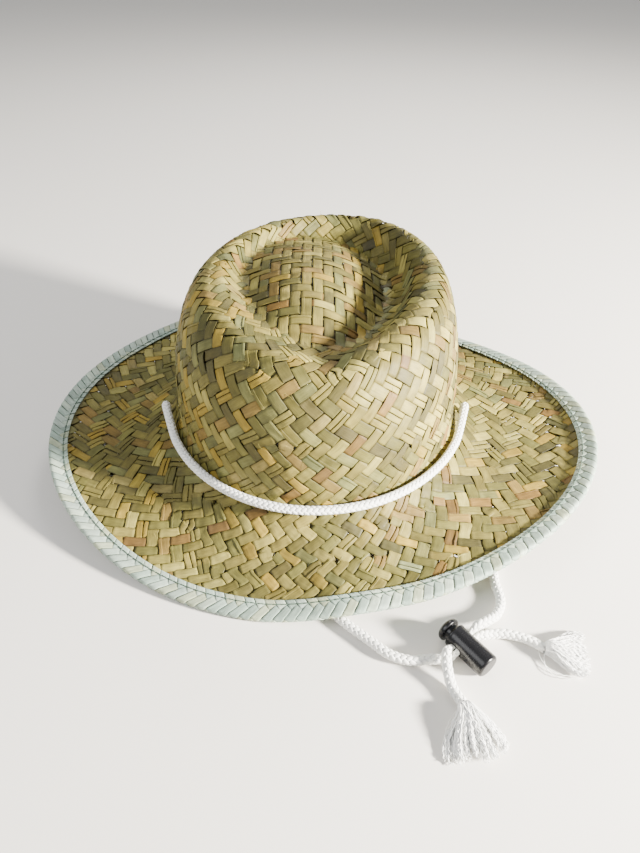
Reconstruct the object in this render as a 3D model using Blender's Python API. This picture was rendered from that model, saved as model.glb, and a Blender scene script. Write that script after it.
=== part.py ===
"""Plaited seagrass hat with a bound brim, a cotton chin cord and a sprung cord lock.

The hat stands on its brim on z = 0, its front faces -Y, and +Z is up. Lengths are metres.
Angles around the hat are counted from the front towards +X. The plait is drawn once as a
middle surface, in rings from the tip of the crown to the brim's edge, and every piece that
follows the plait is offset from that surface. Run it with blender --background --python part.py.
"""

import math

import bpy
import bmesh
import numpy as np
from mathutils import Matrix, Vector

MM = 0.001

# The hat's own centre line stands here, which puts the middle of the whole outline at x = y = 0.
CROWN_AT = np.array([-4.09, -10.01, 0.0]) * MM

COLUMNS = 72  # points around every ring that follows the plait
PLAIT = 2.4 * MM  # thickness of the plait, two strips deep with the hollows between them
GAP = 0.3 * MM  # what touching pieces keep between them

# Brim outline: its centre, half-width, half-length and a few harmonics that square it.
BRIM_AT = (2.3 * MM, 2.9 * MM)
BRIM_HALF_WIDTH = 177.1 * MM
BRIM_HALF_LENGTH = 165.7 * MM
OUTLINE_COS3 = -0.042
OUTLINE_COS4 = 0.020
OUTLINE_SIN1 = -0.009
OUTLINE_SIN2 = 0.021
OUTLINE_SIN3 = -0.016

# Edge height: it rests at the front left and the back right, and both sides are curled up.
EDGE_REST = 1.8 * MM
RISE_LEFT = 23.1 * MM
RISE_RIGHT = 24.8 * MM
RISE_POWER_FRONT = 1.8
RISE_POWER_BACK = 1.17
FLAT_SHARE = 0.10
FRONT_TURN = math.radians(18)  # the front rests this far to the left of the centre line
BACK_TURN = math.radians(12)  # and the back this far to the right of it
CORD_LIFT = 5.0 * MM  # the front lies over the chin cord and is lifted by it
CORD_LIFT_AT = math.radians(6)
CORD_LIFT_WIDTH = math.radians(13)

# Slope of the brim where it meets the edge: down at front and back, up at the sides.
EDGE_SLOPE_END = math.radians(-10.5)
EDGE_SLOPE_SIDE = math.radians(20)

# Crown: an oval foot, a wall that leans in, an egg-shaped crest, a groove and a dome inside it.
FOOT_HALF_WIDTH = 91.8 * MM
FOOT_HALF_LENGTH = 104.0 * MM
FOOT_HEIGHT = 40.0 * MM
WALL_LEAN = 0.10  # share of the way in that is straight, the rest being the shoulder's curve
WALL_SQUARE = 2.6  # 2 gives the shoulder an elliptical section, more makes it squarer
CREST_AT = (4.0 * MM, 6.0 * MM)
CREST_HALF_WIDTH = 66.0 * MM
CREST_HALF_LENGTH = 86.0 * MM
CREST_TAPER = 0.12
CREST_SKEW = -0.03
CREST_HEIGHT = 125.0 * MM
CREST_TILT = 2.0 * MM
CREST_FRONT_DROP = 8.0 * MM
PINCH_DROP = 5.0 * MM
DOME_AT = (-6.0 * MM, 10.0 * MM)
DOME_HEIGHT = 124.5 * MM
DOME_ROUND = 1.9
GROOVE_HEIGHT = 106.0 * MM
GROOVE_LEAN = 7.0 * MM  # deeper on the right than on the left
GROOVE_LEAN_AT = math.radians(105)
GROOVE_SHARE = 0.36  # where the groove lies between the crest (0) and the dome's centre (1)
GROOVE_CLOSER = 0.25  # taken off that share where dome and crest are closest, at the back
GROOVE_CLOSER_AT = math.radians(188)
GROOVE_FRONT_CLOSER = 0.08  # and taken off it at the front
GROOVE_CLOSER_RISE = 9.0 * MM  # and the groove is shallower there

SEAM = 0.0035  # half the gap between tip and side, as a share of the way to the dome's centre

BINDING_WIDTH = 10.5 * MM
BINDING_MIDDLE = 2.6 * MM
BINDING_SKIN = 0.85 * MM
REST_PRESS = 0.35 * MM  # the tape is pressed flat wherever it hangs this close to the table
THREAD_RADIUS = 0.3 * MM
STITCH_INSET = 8.0 * MM
BOBBIN_INSET = 9.4 * MM
SWEATBAND_SKIN = 1.0 * MM

CORD_RADIUS = 2.75 * MM
CORD_HOLE_RADIUS = 3.3 * MM
HOLE_Y = -13.5 * MM
HOLE_LEFT_X = -99.6 * MM
HOLE_RIGHT_X = 99.2 * MM
HINGE_HEIGHT = 21.5 * MM
BAND_COLUMNS = 13  # how many columns either side of the front the cord follows the crown

# Cord lock: a barrel with a bore, and a sprung plunger in it. Both have a slot for two cords.
LOCK_AT = np.array([72.2, -168.55, 6.6]) * MM  # the barrel's mouth, on its axis
LOCK_TURN = math.radians(-52.3)  # from +X to the barrel's axis, seen from above
BARREL_RADIUS = 6.5 * MM
BARREL_LENGTH = 24.0 * MM
BORE_RADIUS = 4.6 * MM
BORE_DEPTH = 22.0 * MM
PLUNGER_RADIUS = 4.52 * MM
PLUNGER_REACH = 14.0 * MM
HEAD_GAP = 2.5 * MM
HEAD_THICKNESS = 4.5 * MM
PLUNGER_TRAVEL = 2.2 * MM
SLOT_START = 2.8 * MM
SLOT_END = 10.2 * MM
SLOT_HALF_HEIGHT = 2.1 * MM
CORD_IN_LOCK = 1.6 * MM  # radius of a cord squeezed inside the lock
RIGHT_CORD_DEPTH = 4.8 * MM
LEFT_CORD_DEPTH = 8.2 * MM
SPRING_RADIUS = 3.3 * MM
SPRING_WIRE = 0.35 * MM
SPRING_TURNS = 5

# Routes of the two free ends of the cord, in millimetres from the crown's centre line, from
# the hole in the brim down to the table, under the brim, through the lock and on to the tassel.
LEFT_CORD_ROUTE = [
    (-99.6, -14.3, 15.0),
    (-97.0, -23.0, 6.8),
    (-89.5, -40.0, 3.3),
    (-72.5, -70.0, 2.9),
    (-44.5, -99.0, 2.9),
    (-16.5, -123.0, 2.9),
    (1.5, -144.5, 2.9),
    (15.9, -159.2, 2.9),
    (28.6, -170.1, 2.9),
    (38.3, -178.0, 2.9),
    (48.3, -181.3, 2.9),
    (58.5, -180.6, 2.9),
    (64.8, -180.6, 2.9),
    (68.9, -180.6, 4.3),
    (71.8, -179.2, 6.3),
    (74.6, -177.05, 6.6),
    (79.8, -173.0, 6.6),
    (82.6, -170.85, 6.3),
    (86.2, -168.5, 4.7),
    (92.4, -166.2, 2.9),
    (99.0, -165.6, 2.9),
    (106.5, -167.2, 2.9),
    (112.7, -169.8, 2.9),
    (119.3, -174.3, 2.9),
]
RIGHT_CORD_ROUTE = [
    (99.2, -14.3, 15.0),
    (101.8, -23.5, 6.8),
    (107.5, -48.0, 3.1),
    (108.0, -82.0, 2.9),
    (104.0, -111.0, 2.9),
    (101.9, -131.8, 2.9),
    (102.4, -145.3, 3.0),
    (97.9, -154.9, 4.4),
    (91.3, -160.6, 6.9),
    (85.6, -163.9, 7.8),
    (80.8, -167.85, 6.8),
    (77.7, -170.3, 6.6),
    (72.5, -174.3, 6.6),
    (69.7, -176.5, 6.9),
    (67.6, -178.3, 8.7),
    (66.0, -182.0, 9.6),
    (65.9, -188.4, 6.8),
    (67.6, -196.0, 3.1),
    (71.5, -204.1, 2.9),
]
FRONT_TASSEL_TIP = np.array([76.0, -230.5, 2.9]) * MM
RIGHT_TASSEL_TIP = np.array([141.0, -176.5, 2.9]) * MM


def clear_scene():
    for thing in list(bpy.data.objects):
        bpy.data.objects.remove(thing, do_unlink=True)


# ---------------------------------------------------------------- materials


def material(name, colour, roughness, metallic=0.0):
    made = bpy.data.materials.new(name)
    made.use_nodes = True
    shader = made.node_tree.nodes["Principled BSDF"]
    shader.inputs["Base Color"].default_value = (*colour, 1.0)
    shader.inputs["Roughness"].default_value = roughness
    shader.inputs["Metallic"].default_value = metallic
    made.diffuse_color = (*colour, 1.0)
    return made


def make_materials():
    return {
        "tip": material("tip_seagrass", (0.58, 0.47, 0.27), 0.55),
        "crown": material("crown_seagrass", (0.52, 0.46, 0.25), 0.55),
        "brim": material("brim_seagrass", (0.50, 0.39, 0.20), 0.6),
        "binding": material("binding_leaf", (0.55, 0.62, 0.54), 0.5),
        "top_thread": material("binding_top_thread", (0.06, 0.12, 0.07), 0.7),
        "under_thread": material("binding_under_thread", (0.07, 0.11, 0.08), 0.7),
        "sweatband": material("sweatband_cotton", (0.70, 0.62, 0.45), 0.9),
        "sweat_thread": material("sweatband_thread_cotton", (0.62, 0.54, 0.38), 0.85),
        "band": material("cord_band_cotton", (0.88, 0.89, 0.87), 0.85),
        "left_cord": material("left_cord_cotton", (0.86, 0.87, 0.85), 0.85),
        "right_cord": material("right_cord_cotton", (0.85, 0.86, 0.84), 0.85),
        "front_tassel": material("front_tassel_cotton", (0.92, 0.92, 0.88), 0.9),
        "right_tassel": material("right_tassel_cotton", (0.91, 0.91, 0.87), 0.9),
        "barrel": material("lock_barrel_plastic", (0.012, 0.013, 0.015), 0.3),
        "plunger": material("lock_plunger_plastic", (0.010, 0.010, 0.012), 0.25),
        "spring": material("lock_spring_steel", (0.60, 0.60, 0.62), 0.3, 1.0),
    }


# ---------------------------------------------------------------- the hat's middle surface


def angles():
    return np.arange(COLUMNS) * 2 * math.pi / COLUMNS


def front_share(turn):
    return (1 + np.cos(turn)) / 2


def from_front(turn):
    """The angle from the front, between -180 and 180 degrees."""
    return np.arctan2(np.sin(turn), np.cos(turn))


def sideways(turn):
    """From 0 where the brim rests to 1 and -1 where its sides are highest."""
    front = front_share(turn)
    return np.sin(turn + FRONT_TURN * front**2 + BACK_TURN * (1 - front) ** 2)


def edge_height(turn):
    """Height of the brim's edge: flat where it rests, higher towards each side."""
    front = front_share(turn)
    across = sideways(turn)
    share = np.clip((np.abs(across) - FLAT_SHARE) / (1 - FLAT_SHARE), 0, None)
    power = RISE_POWER_FRONT * front + RISE_POWER_BACK * (1 - front)
    rise = np.where(across > 0, RISE_RIGHT, RISE_LEFT)
    lift = CORD_LIFT * np.exp(-(((from_front(turn) - CORD_LIFT_AT) / CORD_LIFT_WIDTH) ** 2))
    return EDGE_REST + rise * share**power + lift


def brim_edge(turn):
    squared = (
        1
        + OUTLINE_COS3 * np.cos(3 * turn)
        + OUTLINE_COS4 * np.cos(4 * turn)
        + OUTLINE_SIN1 * np.sin(turn)
        + OUTLINE_SIN2 * np.sin(2 * turn)
        + OUTLINE_SIN3 * np.sin(3 * turn)
    )
    x = BRIM_AT[0] + BRIM_HALF_WIDTH * squared * np.sin(turn)
    y = BRIM_AT[1] - BRIM_HALF_LENGTH * squared * np.cos(turn)
    return np.stack([x, y, edge_height(turn)], axis=-1)


def crown_foot(turn):
    x = FOOT_HALF_WIDTH * np.sin(turn)
    y = -FOOT_HALF_LENGTH * np.cos(turn)
    return np.stack([x, y, np.full_like(turn, FOOT_HEIGHT)], axis=-1)


def crest(turn):
    skew = 1 + CREST_SKEW * np.sin(2 * turn)
    egg = 1 - CREST_TAPER * np.cos(turn)
    x = CREST_AT[0] + CREST_HALF_WIDTH * np.sin(turn) * egg * skew
    y = CREST_AT[1] - CREST_HALF_LENGTH * np.cos(turn) * skew
    pinch = np.exp(-((from_front(turn) / math.radians(14)) ** 2))
    z = CREST_HEIGHT - CREST_FRONT_DROP * front_share(turn) ** 2 - PINCH_DROP * pinch
    return np.stack([x, y, z + CREST_TILT * np.sin(turn)], axis=-1)


def outward(turn):
    return np.stack([np.sin(turn), -np.cos(turn), np.zeros_like(turn)], axis=-1)


def brim_ring(turn, along):
    """Points of the brim. along gives the share of each column's length, 0 at the crown."""
    up = np.array([0.0, 0.0, 1.0])
    start = crown_foot(turn)
    end = brim_edge(turn)
    flat = end[:, :2] - start[:, :2]
    reach = np.linalg.norm(flat, axis=1)
    away = np.concatenate([flat / reach[:, None], np.zeros((len(turn), 1))], axis=1)
    slope = EDGE_SLOPE_END + (EDGE_SLOPE_SIDE - EDGE_SLOPE_END) * sideways(turn) ** 2
    leave = away * 0.16 - up * 1.0
    arrive = away * np.cos(slope)[:, None] + up * np.sin(slope)[:, None]
    first = start + leave * 13.0 * MM
    second = end - arrive * (0.62 * reach)[:, None]
    steps = np.linspace(0, 1, 121)[:, None, None]
    bend = (
        (1 - steps) ** 3 * start
        + 3 * (1 - steps) ** 2 * steps * first
        + 3 * (1 - steps) * steps**2 * second
        + steps**3 * end
    )
    pieces = np.linalg.norm(np.diff(bend, axis=0), axis=2)
    run = np.concatenate([np.zeros((1, len(turn))), np.cumsum(pieces, axis=0)])
    wanted = along * run[-1]
    ring = np.empty((len(turn), 3))
    for column in range(len(turn)):
        for axis in range(3):
            ring[column, axis] = np.interp(wanted[column], run[:, column], bend[:, column, axis])
    return ring, run[-1]


def brim_at_share(turn, share):
    return brim_ring(turn, np.full(len(turn), share))[0]


def brim_at_inset(turn, inset):
    """The ring that lies a fixed distance in from the brim's edge."""
    length = brim_ring(turn, np.ones(len(turn)))[1]
    return brim_ring(turn, 1 - inset / length)[0]


def squared_off(value):
    return math.copysign(abs(value) ** (2 / WALL_SQUARE), value)


def wall_ring(turn, lean):
    """The crown's wall. lean runs from 0 at the foot to 90 degrees on the crest."""
    height = squared_off(math.sin(lean))
    inward = WALL_LEAN * height + (1 - WALL_LEAN) * (1 - squared_off(math.cos(lean)))
    foot = crown_foot(turn)
    top = crest(turn)
    ring = foot + (top - foot) * inward
    ring[:, 2] = foot[:, 2] + (top[:, 2] - foot[:, 2]) * height
    return ring


def tip_ring(turn, inward):
    """Inside the crest: 0 on the crest, GROOVE_SHARE in the groove, 1 at the dome's centre."""
    top = crest(turn)
    near = (1 + np.cos(turn - GROOVE_CLOSER_AT)) / 2
    share = GROOVE_SHARE - GROOVE_CLOSER * near**3
    share = share - GROOVE_FRONT_CLOSER * front_share(turn) ** 4
    groove = GROOVE_HEIGHT - GROOVE_LEAN * np.cos(turn - GROOVE_LEAN_AT)
    groove = groove + 1.5 * MM * front_share(turn) ** 4 + GROOVE_CLOSER_RISE * near**3
    if inward <= GROOVE_SHARE:
        along = share * inward / GROOVE_SHARE
        down = 0.5 - 0.5 * math.cos(math.pi * inward / GROOVE_SHARE)
        height = top[:, 2] + (groove - top[:, 2]) * down
    else:
        climb = (inward - GROOVE_SHARE) / (1 - GROOVE_SHARE)
        along = share + (1 - share) * climb
        soft = 0.08
        climb = (math.hypot(climb, soft) - soft) / (math.hypot(1, soft) - soft)
        height = groove + (DOME_HEIGHT - groove) * (1 - (1 - climb) ** DOME_ROUND)
    middle = np.array([DOME_AT[0], DOME_AT[1], 0.0])
    ring = top + (middle - top) * along[:, None]
    ring[:, 2] = height
    return ring


class Ring:
    """One ring of the middle surface with the surface's outward normal at every point."""

    def __init__(self, make, value, step):
        turn = angles()
        self.points = make(turn, value)
        along = make(turn, value + step) - make(turn, value - step)
        around = np.roll(self.points, -1, axis=0) - np.roll(self.points, 1, axis=0)
        normal = np.cross(along, around)
        normal = normal / np.linalg.norm(normal, axis=1, keepdims=True)
        facing = np.sum(normal * (outward(turn) * 0.5 + np.array([0.0, 0.0, 1.0])), axis=1)
        self.normal = normal * np.sign(facing)[:, None]

    def offset(self, distance):
        return self.points + self.normal * distance


def on_tip(inward):
    return Ring(tip_ring, inward, 0.004)


def on_wall(lean_degrees):
    return Ring(wall_ring, math.radians(lean_degrees), 0.004)


def on_brim(share):
    return Ring(brim_at_share, share, 0.004)


def near_edge(inset):
    return Ring(brim_at_inset, inset, -0.4 * MM)


# ---------------------------------------------------------------- mesh helpers


def new_object(name, mesh, look):
    thing = bpy.data.objects.new(name, mesh)
    bpy.context.scene.collection.objects.link(thing)
    thing.data.materials.append(look)
    return thing


def finish_mesh(name, soup, look, smooth_angle=40):
    bmesh.ops.recalc_face_normals(soup, faces=soup.faces)
    mesh = bpy.data.meshes.new(name)
    soup.to_mesh(mesh)
    soup.free()
    mesh.shade_smooth()
    mesh.set_sharp_from_angle(angle=math.radians(smooth_angle))
    return new_object(name, mesh, look)


def bridge(soup, first, second):
    count = len(first)
    for here in range(count):
        after = (here + 1) % count
        soup.faces.new((first[here], first[after], second[after], second[here]))


def ring_vertices(soup, ring):
    return [soup.verts.new(Vector(point + CROWN_AT)) for point in ring]


def loop_shell(name, rings, look, smooth_angle=40):
    """A closed band: the last ring joins the first, as in a tube bent into a hoop."""
    soup = bmesh.new()
    made = [ring_vertices(soup, ring) for ring in rings]
    for here, ring in enumerate(made):
        bridge(soup, ring, made[(here + 1) % len(made)])
    return finish_mesh(name, soup, look, smooth_angle)


def layer(name, rings, upper, lower, look):
    """A band that follows the plait, between two distances from its middle surface."""
    above = [ring.offset(upper) for ring in rings]
    below = [ring.offset(lower) for ring in rings]
    return loop_shell(name, above + below[::-1], look)


def tube(name, points, radius, look, shares=None, cyclic=False, roundness=2):
    """A tube along a polyline. shares scales the radius at each point."""
    curve = bpy.data.curves.new(name, "CURVE")
    curve.dimensions = "3D"
    curve.bevel_depth = radius
    curve.bevel_resolution = roundness
    curve.use_fill_caps = not cyclic
    curve.resolution_u = 1
    curve.render_resolution_u = 0
    line = curve.splines.new("POLY")
    line.points.add(len(points) - 1)
    for spot, (point, place) in enumerate(zip(line.points, points, strict=True)):
        point.co = (*place, 1.0)
        point.radius = 1.0 if shares is None else shares[spot]
    line.use_cyclic_u = cyclic
    return new_object(name, curve, look)


def smooth_route(route, count, busy_at=None):
    """Points on a Catmull-Rom curve through the route's points, closer together by busy_at."""
    ends = [2 * route[0] - route[1], *route, 2 * route[-1] - route[-2]]
    dense = []
    for here in range(1, len(ends) - 2):
        before, start, end, after = ends[here - 1 : here + 3]
        for part in np.arange(20) / 20:
            bend = 2 * start + (end - before) * part
            bend = bend + (2 * before - 5 * start + 4 * end - after) * part**2
            bend = bend + (3 * start - before - 3 * end + after) * part**3
            dense.append(bend / 2)
    dense.append(route[-1])
    dense = np.array(dense)
    pieces = np.linalg.norm(np.diff(dense, axis=0), axis=1)
    if busy_at is not None:
        away = np.linalg.norm(dense[1:] - busy_at, axis=1)
        pieces = pieces * (1 + 2.5 * np.exp(-((away / (14 * MM)) ** 2)))
    run = np.concatenate([[0], np.cumsum(pieces)])
    wanted = np.linspace(0, run[-1], count)
    return np.stack([np.interp(wanted, run, dense[:, axis]) for axis in range(3)], axis=1)


def hang_on(thing, holder):
    """Parents thing to an empty and leaves it where it stands."""
    bpy.context.view_layer.update()
    thing.parent = holder
    thing.matrix_parent_inverse = holder.matrix_world.inverted()


def empty(name, place, turn=0.0):
    made = bpy.data.objects.new(name, None)
    bpy.context.scene.collection.objects.link(made)
    made.location = Vector(place)
    made.rotation_euler = (0, 0, turn)
    made.empty_display_size = 0.01
    return made


def cutter(thing):
    thing.hide_render = True
    thing.display_type = "WIRE"
    return thing


def cut(target, tool):
    modifier = target.modifiers.new("cut_" + tool.name, "BOOLEAN")
    modifier.operation = "DIFFERENCE"
    modifier.solver = "EXACT"
    modifier.object = tool


# ---------------------------------------------------------------- the plaited body


def make_tip(looks):
    rings = [on_tip(share) for share in (0.92, 0.8, 0.68, 0.56, 0.47, 0.41, GROOVE_SHARE + SEAM)]
    soup = bmesh.new()
    top = [ring_vertices(soup, ring.offset(PLAIT / 2)) for ring in rings]
    bottom = [ring_vertices(soup, ring.offset(-PLAIT / 2)) for ring in rings]
    for rows in (top, bottom):
        for here in range(len(rows) - 1):
            bridge(soup, rows[here], rows[here + 1])
    bridge(soup, top[-1], bottom[-1])
    for rows, side in ((top, 1), (bottom, -1)):
        pole = np.array([DOME_AT[0], DOME_AT[1], DOME_HEIGHT + side * PLAIT / 2])
        middle = soup.verts.new(Vector(pole + CROWN_AT))
        for here in range(COLUMNS):
            soup.faces.new((middle, rows[0][here], rows[0][(here + 1) % COLUMNS]))
    return finish_mesh("crown_tip_plait", soup, looks["tip"])


def make_crown_side(looks):
    rings = [on_tip(share) for share in (GROOVE_SHARE - SEAM, 0.30, 0.23, 0.15, 0.06)]
    rings += [on_wall(lean) for lean in (88.5, 76, 60, 43, 28, 15, 5.5, 0.05)]
    return layer("crown_side_plait", rings, PLAIT / 2, -PLAIT / 2, looks["crown"])


def make_brim(looks):
    rings = [on_brim(share) for share in (0.006, 0.06, 0.12, 0.2, 0.32, 0.48, 0.65)]
    rings += [near_edge(inset) for inset in (BINDING_WIDTH, BINDING_MIDDLE, 0.0)]
    brim = layer("brim_plait", rings, PLAIT / 2, -PLAIT / 2, looks["brim"])
    for name, x in (("left", HOLE_LEFT_X), ("right", HOLE_RIGHT_X)):
        bpy.ops.mesh.primitive_cylinder_add(
            vertices=20,
            radius=CORD_HOLE_RADIUS,
            depth=30 * MM,
            location=Vector(np.array([x, HOLE_Y, 30 * MM]) + CROWN_AT),
        )
        punch = cutter(bpy.context.object)
        punch.name = name + "_cord_hole_cutter"
        cut(brim, punch)
    return brim


# ---------------------------------------------------------------- binding, threads, sweatband


def make_binding(looks):
    """A leaf tape folded over the brim's edge, pressed flat where the hat stands on it."""
    rings = [near_edge(inset) for inset in (BINDING_WIDTH, BINDING_MIDDLE, 0.0)]
    edge = rings[-1].points
    out = edge - near_edge(1.0 * MM).points
    out = out / np.linalg.norm(out, axis=1, keepdims=True)
    up = rings[-1].normal
    channel = PLAIT / 2 + GAP
    skin = channel + BINDING_SKIN
    rows = [ring.offset(skin) for ring in rings]
    rows.append(edge + out * 0.9 * MM + up * skin * 0.75)
    rows.append(edge + out * 1.5 * MM)
    rows.append(edge + out * 0.9 * MM - up * skin * 0.75)
    rows += [ring.offset(-skin) for ring in rings[::-1]]
    for row in rows:
        row[:, 2] = np.where(row[:, 2] < REST_PRESS, 0.0, row[:, 2])
    rows += [ring.offset(-channel) for ring in rings[:2]]
    rows.append(edge + out * 0.4 * MM - up * channel)
    rows.append(edge + out * 0.4 * MM + up * channel)
    rows += [ring.offset(channel) for ring in rings[1::-1]]
    return loop_shell("brim_binding", rows, looks["binding"])


def make_edge_thread(name, inset, side, look):
    lift = PLAIT / 2 + GAP + BINDING_SKIN + GAP + THREAD_RADIUS
    line = near_edge(inset).offset(side * lift) + CROWN_AT
    return tube(name, line, THREAD_RADIUS, look, cyclic=True, roundness=1)


def make_sweatband(looks):
    rings = [on_wall(lean) for lean in (12.5, 4.4, 0.7)]
    depth = PLAIT / 2 + GAP
    return layer("sweatband", rings, -depth, -depth - SWEATBAND_SKIN, looks["sweatband"])


def make_sweatband_thread(looks):
    depth = PLAIT / 2 + 2 * GAP + SWEATBAND_SKIN + THREAD_RADIUS
    line = on_wall(2.4).offset(-depth) + CROWN_AT
    return tube("sweatband_thread", line, THREAD_RADIUS, looks["sweat_thread"], None, True, 1)


# ---------------------------------------------------------------- the cord


def make_cord_band(looks):
    """The held stretch: up through one hole, around the front of the crown, down the other."""
    around = on_brim(0.075).offset(PLAIT / 2 + CORD_RADIUS + 0.9 * MM)
    line = np.concatenate([around[-BAND_COLUMNS:], around[: BAND_COLUMNS + 1]])
    low = HINGE_HEIGHT + CORD_RADIUS + GAP
    ends = []
    for x in (HOLE_LEFT_X, HOLE_RIGHT_X):
        side = math.copysign(1, x)
        ends.append(
            [
                np.array([x, HOLE_Y, low]),
                np.array([x, HOLE_Y, low + 6 * MM]),
                np.array([x, HOLE_Y - 0.6 * MM, low + 11 * MM]),
                np.array([x - side * 0.8 * MM, HOLE_Y - 6.5 * MM, low + 16 * MM]),
            ]
        )
    route = ends[0] + list(line) + ends[1][::-1]
    points = smooth_route(route, 48) + CROWN_AT
    return tube("chin_cord_band", points, CORD_RADIUS, looks["band"])


def free_cord(name, x, route, count, look):
    """One free end of the cord. It starts as a half ball that can turn under its hole."""
    pivot = np.array([x, HOLE_Y, HINGE_HEIGHT])
    spots = [pivot] + [np.array(point) * MM for point in route]
    squeeze_at = LOCK_AT + lock_axis() * (SLOT_START + SLOT_END) / 2
    line = smooth_route(spots, count, squeeze_at)
    away = np.linalg.norm(line - squeeze_at, axis=1)
    squeeze = CORD_IN_LOCK / CORD_RADIUS
    shares = squeeze + (1 - squeeze) * np.clip((away - 8.5 * MM) / (5.0 * MM), 0, 1)
    ball = np.radians([80, 60, 40, 20])
    cap = [pivot + np.array([0, 0, math.sin(step)]) * CORD_RADIUS for step in ball]
    line = np.concatenate([cap, line]) + CROWN_AT
    shares = np.concatenate([np.cos(ball), shares])
    return tube(name, line, CORD_RADIUS, look, shares)


def make_tassel(name, route, tip, half_width, look):
    """A frayed end lying flat: it leaves the cord face to face and spreads into a fan."""
    root = np.array(route[-1]) * MM
    leave = root - np.array(route[-2]) * MM
    leave = leave / np.linalg.norm(leave)
    start = root + leave * GAP
    bend = start + leave * 0.4 * np.linalg.norm(tip - root)
    soup = bmesh.new()
    rings = []
    for share in (0.0, 0.1, 0.25, 0.45, 0.65, 0.83, 0.95, 1.0):
        middle = (1 - share) ** 2 * start + 2 * share * (1 - share) * bend + share**2 * tip
        ahead = (1 - share) * (bend - start) + share * (tip - bend)
        side = np.array([-ahead[1], ahead[0], 0.0]) / np.linalg.norm(ahead[:2])
        spread = CORD_RADIUS + (half_width - CORD_RADIUS) * share**0.9
        thick = CORD_RADIUS * (1 - 0.2 * share)
        if share == 1.0:
            spread = spread * 0.93
            thick = thick * 0.5
        up = np.array([0.0, 0.0, thick])
        middle[2] = max(thick, middle[2])
        steps = np.arange(16) * math.pi / 8
        ring = middle + np.outer(np.cos(steps), side * spread) + np.outer(np.sin(steps), up)
        rings.append(ring_vertices(soup, ring))
    for here in range(len(rings) - 1):
        bridge(soup, rings[here], rings[here + 1])
    soup.faces.new(rings[0])
    soup.faces.new(rings[-1])
    return finish_mesh(name, soup, look)


# ---------------------------------------------------------------- the cord lock


def lock_axis():
    return np.array([math.cos(LOCK_TURN), math.sin(LOCK_TURN), 0.0])


def lathe(name, profile, look, sides=28):
    """Turns a profile of (distance along +X, radius) points; its ends lie on the axis."""
    soup = bmesh.new()
    rings = []
    for along, radius in profile:
        if radius == 0:
            rings.append([soup.verts.new((along, 0, 0))])
            continue
        ring = []
        for step in range(sides):
            angle = 2 * math.pi * step / sides
            ring.append(soup.verts.new((along, radius * math.cos(angle), radius * math.sin(angle))))
        rings.append(ring)
    for first, second in zip(rings, rings[1:], strict=False):
        for here in range(sides):
            after = (here + 1) % sides
            if len(first) == 1:
                soup.faces.new((first[0], second[here], second[after]))
            elif len(second) == 1:
                soup.faces.new((first[here], first[after], second[0]))
            else:
                soup.faces.new((first[here], first[after], second[after], second[here]))
    return finish_mesh(name, soup, look)


def slot_cutter(name, start, end):
    """A long round-ended bar across the lock, along its own Y."""
    radius = SLOT_HALF_HEIGHT
    soup = bmesh.new()
    outline = []
    for step in range(9):
        angle = -math.pi / 2 + math.pi * step / 8
        outline.append((end - radius + radius * math.cos(angle), radius * math.sin(angle)))
    for step in range(9):
        angle = math.pi / 2 + math.pi * step / 8
        outline.append((start + radius + radius * math.cos(angle), radius * math.sin(angle)))
    near = [soup.verts.new((x, -12 * MM, z)) for x, z in outline]
    far = [soup.verts.new((x, 12 * MM, z)) for x, z in outline]
    bridge(soup, near, far)
    soup.faces.new(near)
    soup.faces.new(far)
    bmesh.ops.recalc_face_normals(soup, faces=soup.faces)
    mesh = bpy.data.meshes.new(name)
    soup.to_mesh(mesh)
    soup.free()
    made = bpy.data.objects.new(name, mesh)
    bpy.context.scene.collection.objects.link(made)
    return cutter(made)


def make_barrel(looks):
    profile = [
        (BORE_DEPTH, 0),
        (BORE_DEPTH, BORE_RADIUS),
        (0.4 * MM, BORE_RADIUS),
        (0, BORE_RADIUS + 0.4 * MM),
        (0, BARREL_RADIUS - 0.5 * MM),
        (0.5 * MM, BARREL_RADIUS),
        (BARREL_LENGTH - 1.4 * MM, BARREL_RADIUS),
        (BARREL_LENGTH - 0.4 * MM, BARREL_RADIUS - 0.4 * MM),
        (BARREL_LENGTH, BARREL_RADIUS - 1.4 * MM),
        (BARREL_LENGTH, 0),
    ]
    barrel = lathe("lock_barrel", profile, looks["barrel"])
    punch = slot_cutter("barrel_slot_cutter", SLOT_START, SLOT_END)
    cut(barrel, punch)
    return barrel, punch


def make_plunger(looks):
    back = -HEAD_GAP - HEAD_THICKNESS
    profile = [
        (back, 0),
        (back + 0.25 * MM, 2.6 * MM),
        (back + 0.9 * MM, 4.6 * MM),
        (back + 1.9 * MM, 6.0 * MM),
        (back + 2.9 * MM, BARREL_RADIUS),
        (-HEAD_GAP - 0.5 * MM, BARREL_RADIUS),
        (-HEAD_GAP, BARREL_RADIUS - 0.5 * MM),
        (-HEAD_GAP, PLUNGER_RADIUS),
        (PLUNGER_REACH - 0.5 * MM, PLUNGER_RADIUS),
        (PLUNGER_REACH, PLUNGER_RADIUS - 0.5 * MM),
        (PLUNGER_REACH, 0),
    ]
    plunger = lathe("lock_plunger", profile, looks["plunger"])
    punch = slot_cutter("plunger_slot_cutter", SLOT_START - HEAD_GAP, SLOT_END)
    cut(plunger, punch)
    return plunger, punch


def make_spring(looks):
    start = PLUNGER_REACH + SPRING_WIRE + GAP
    end = BORE_DEPTH - SPRING_WIRE - GAP
    points = []
    for step in range(SPRING_TURNS * 12 + 1):
        angle = 2 * math.pi * step / 12
        share = step / (SPRING_TURNS * 12)
        points.append(
            (
                start + (end - start) * share,
                SPRING_RADIUS * math.cos(angle),
                SPRING_RADIUS * math.sin(angle),
            )
        )
    return tube("lock_spring", points, SPRING_WIRE, looks["spring"], roundness=1)


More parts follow.
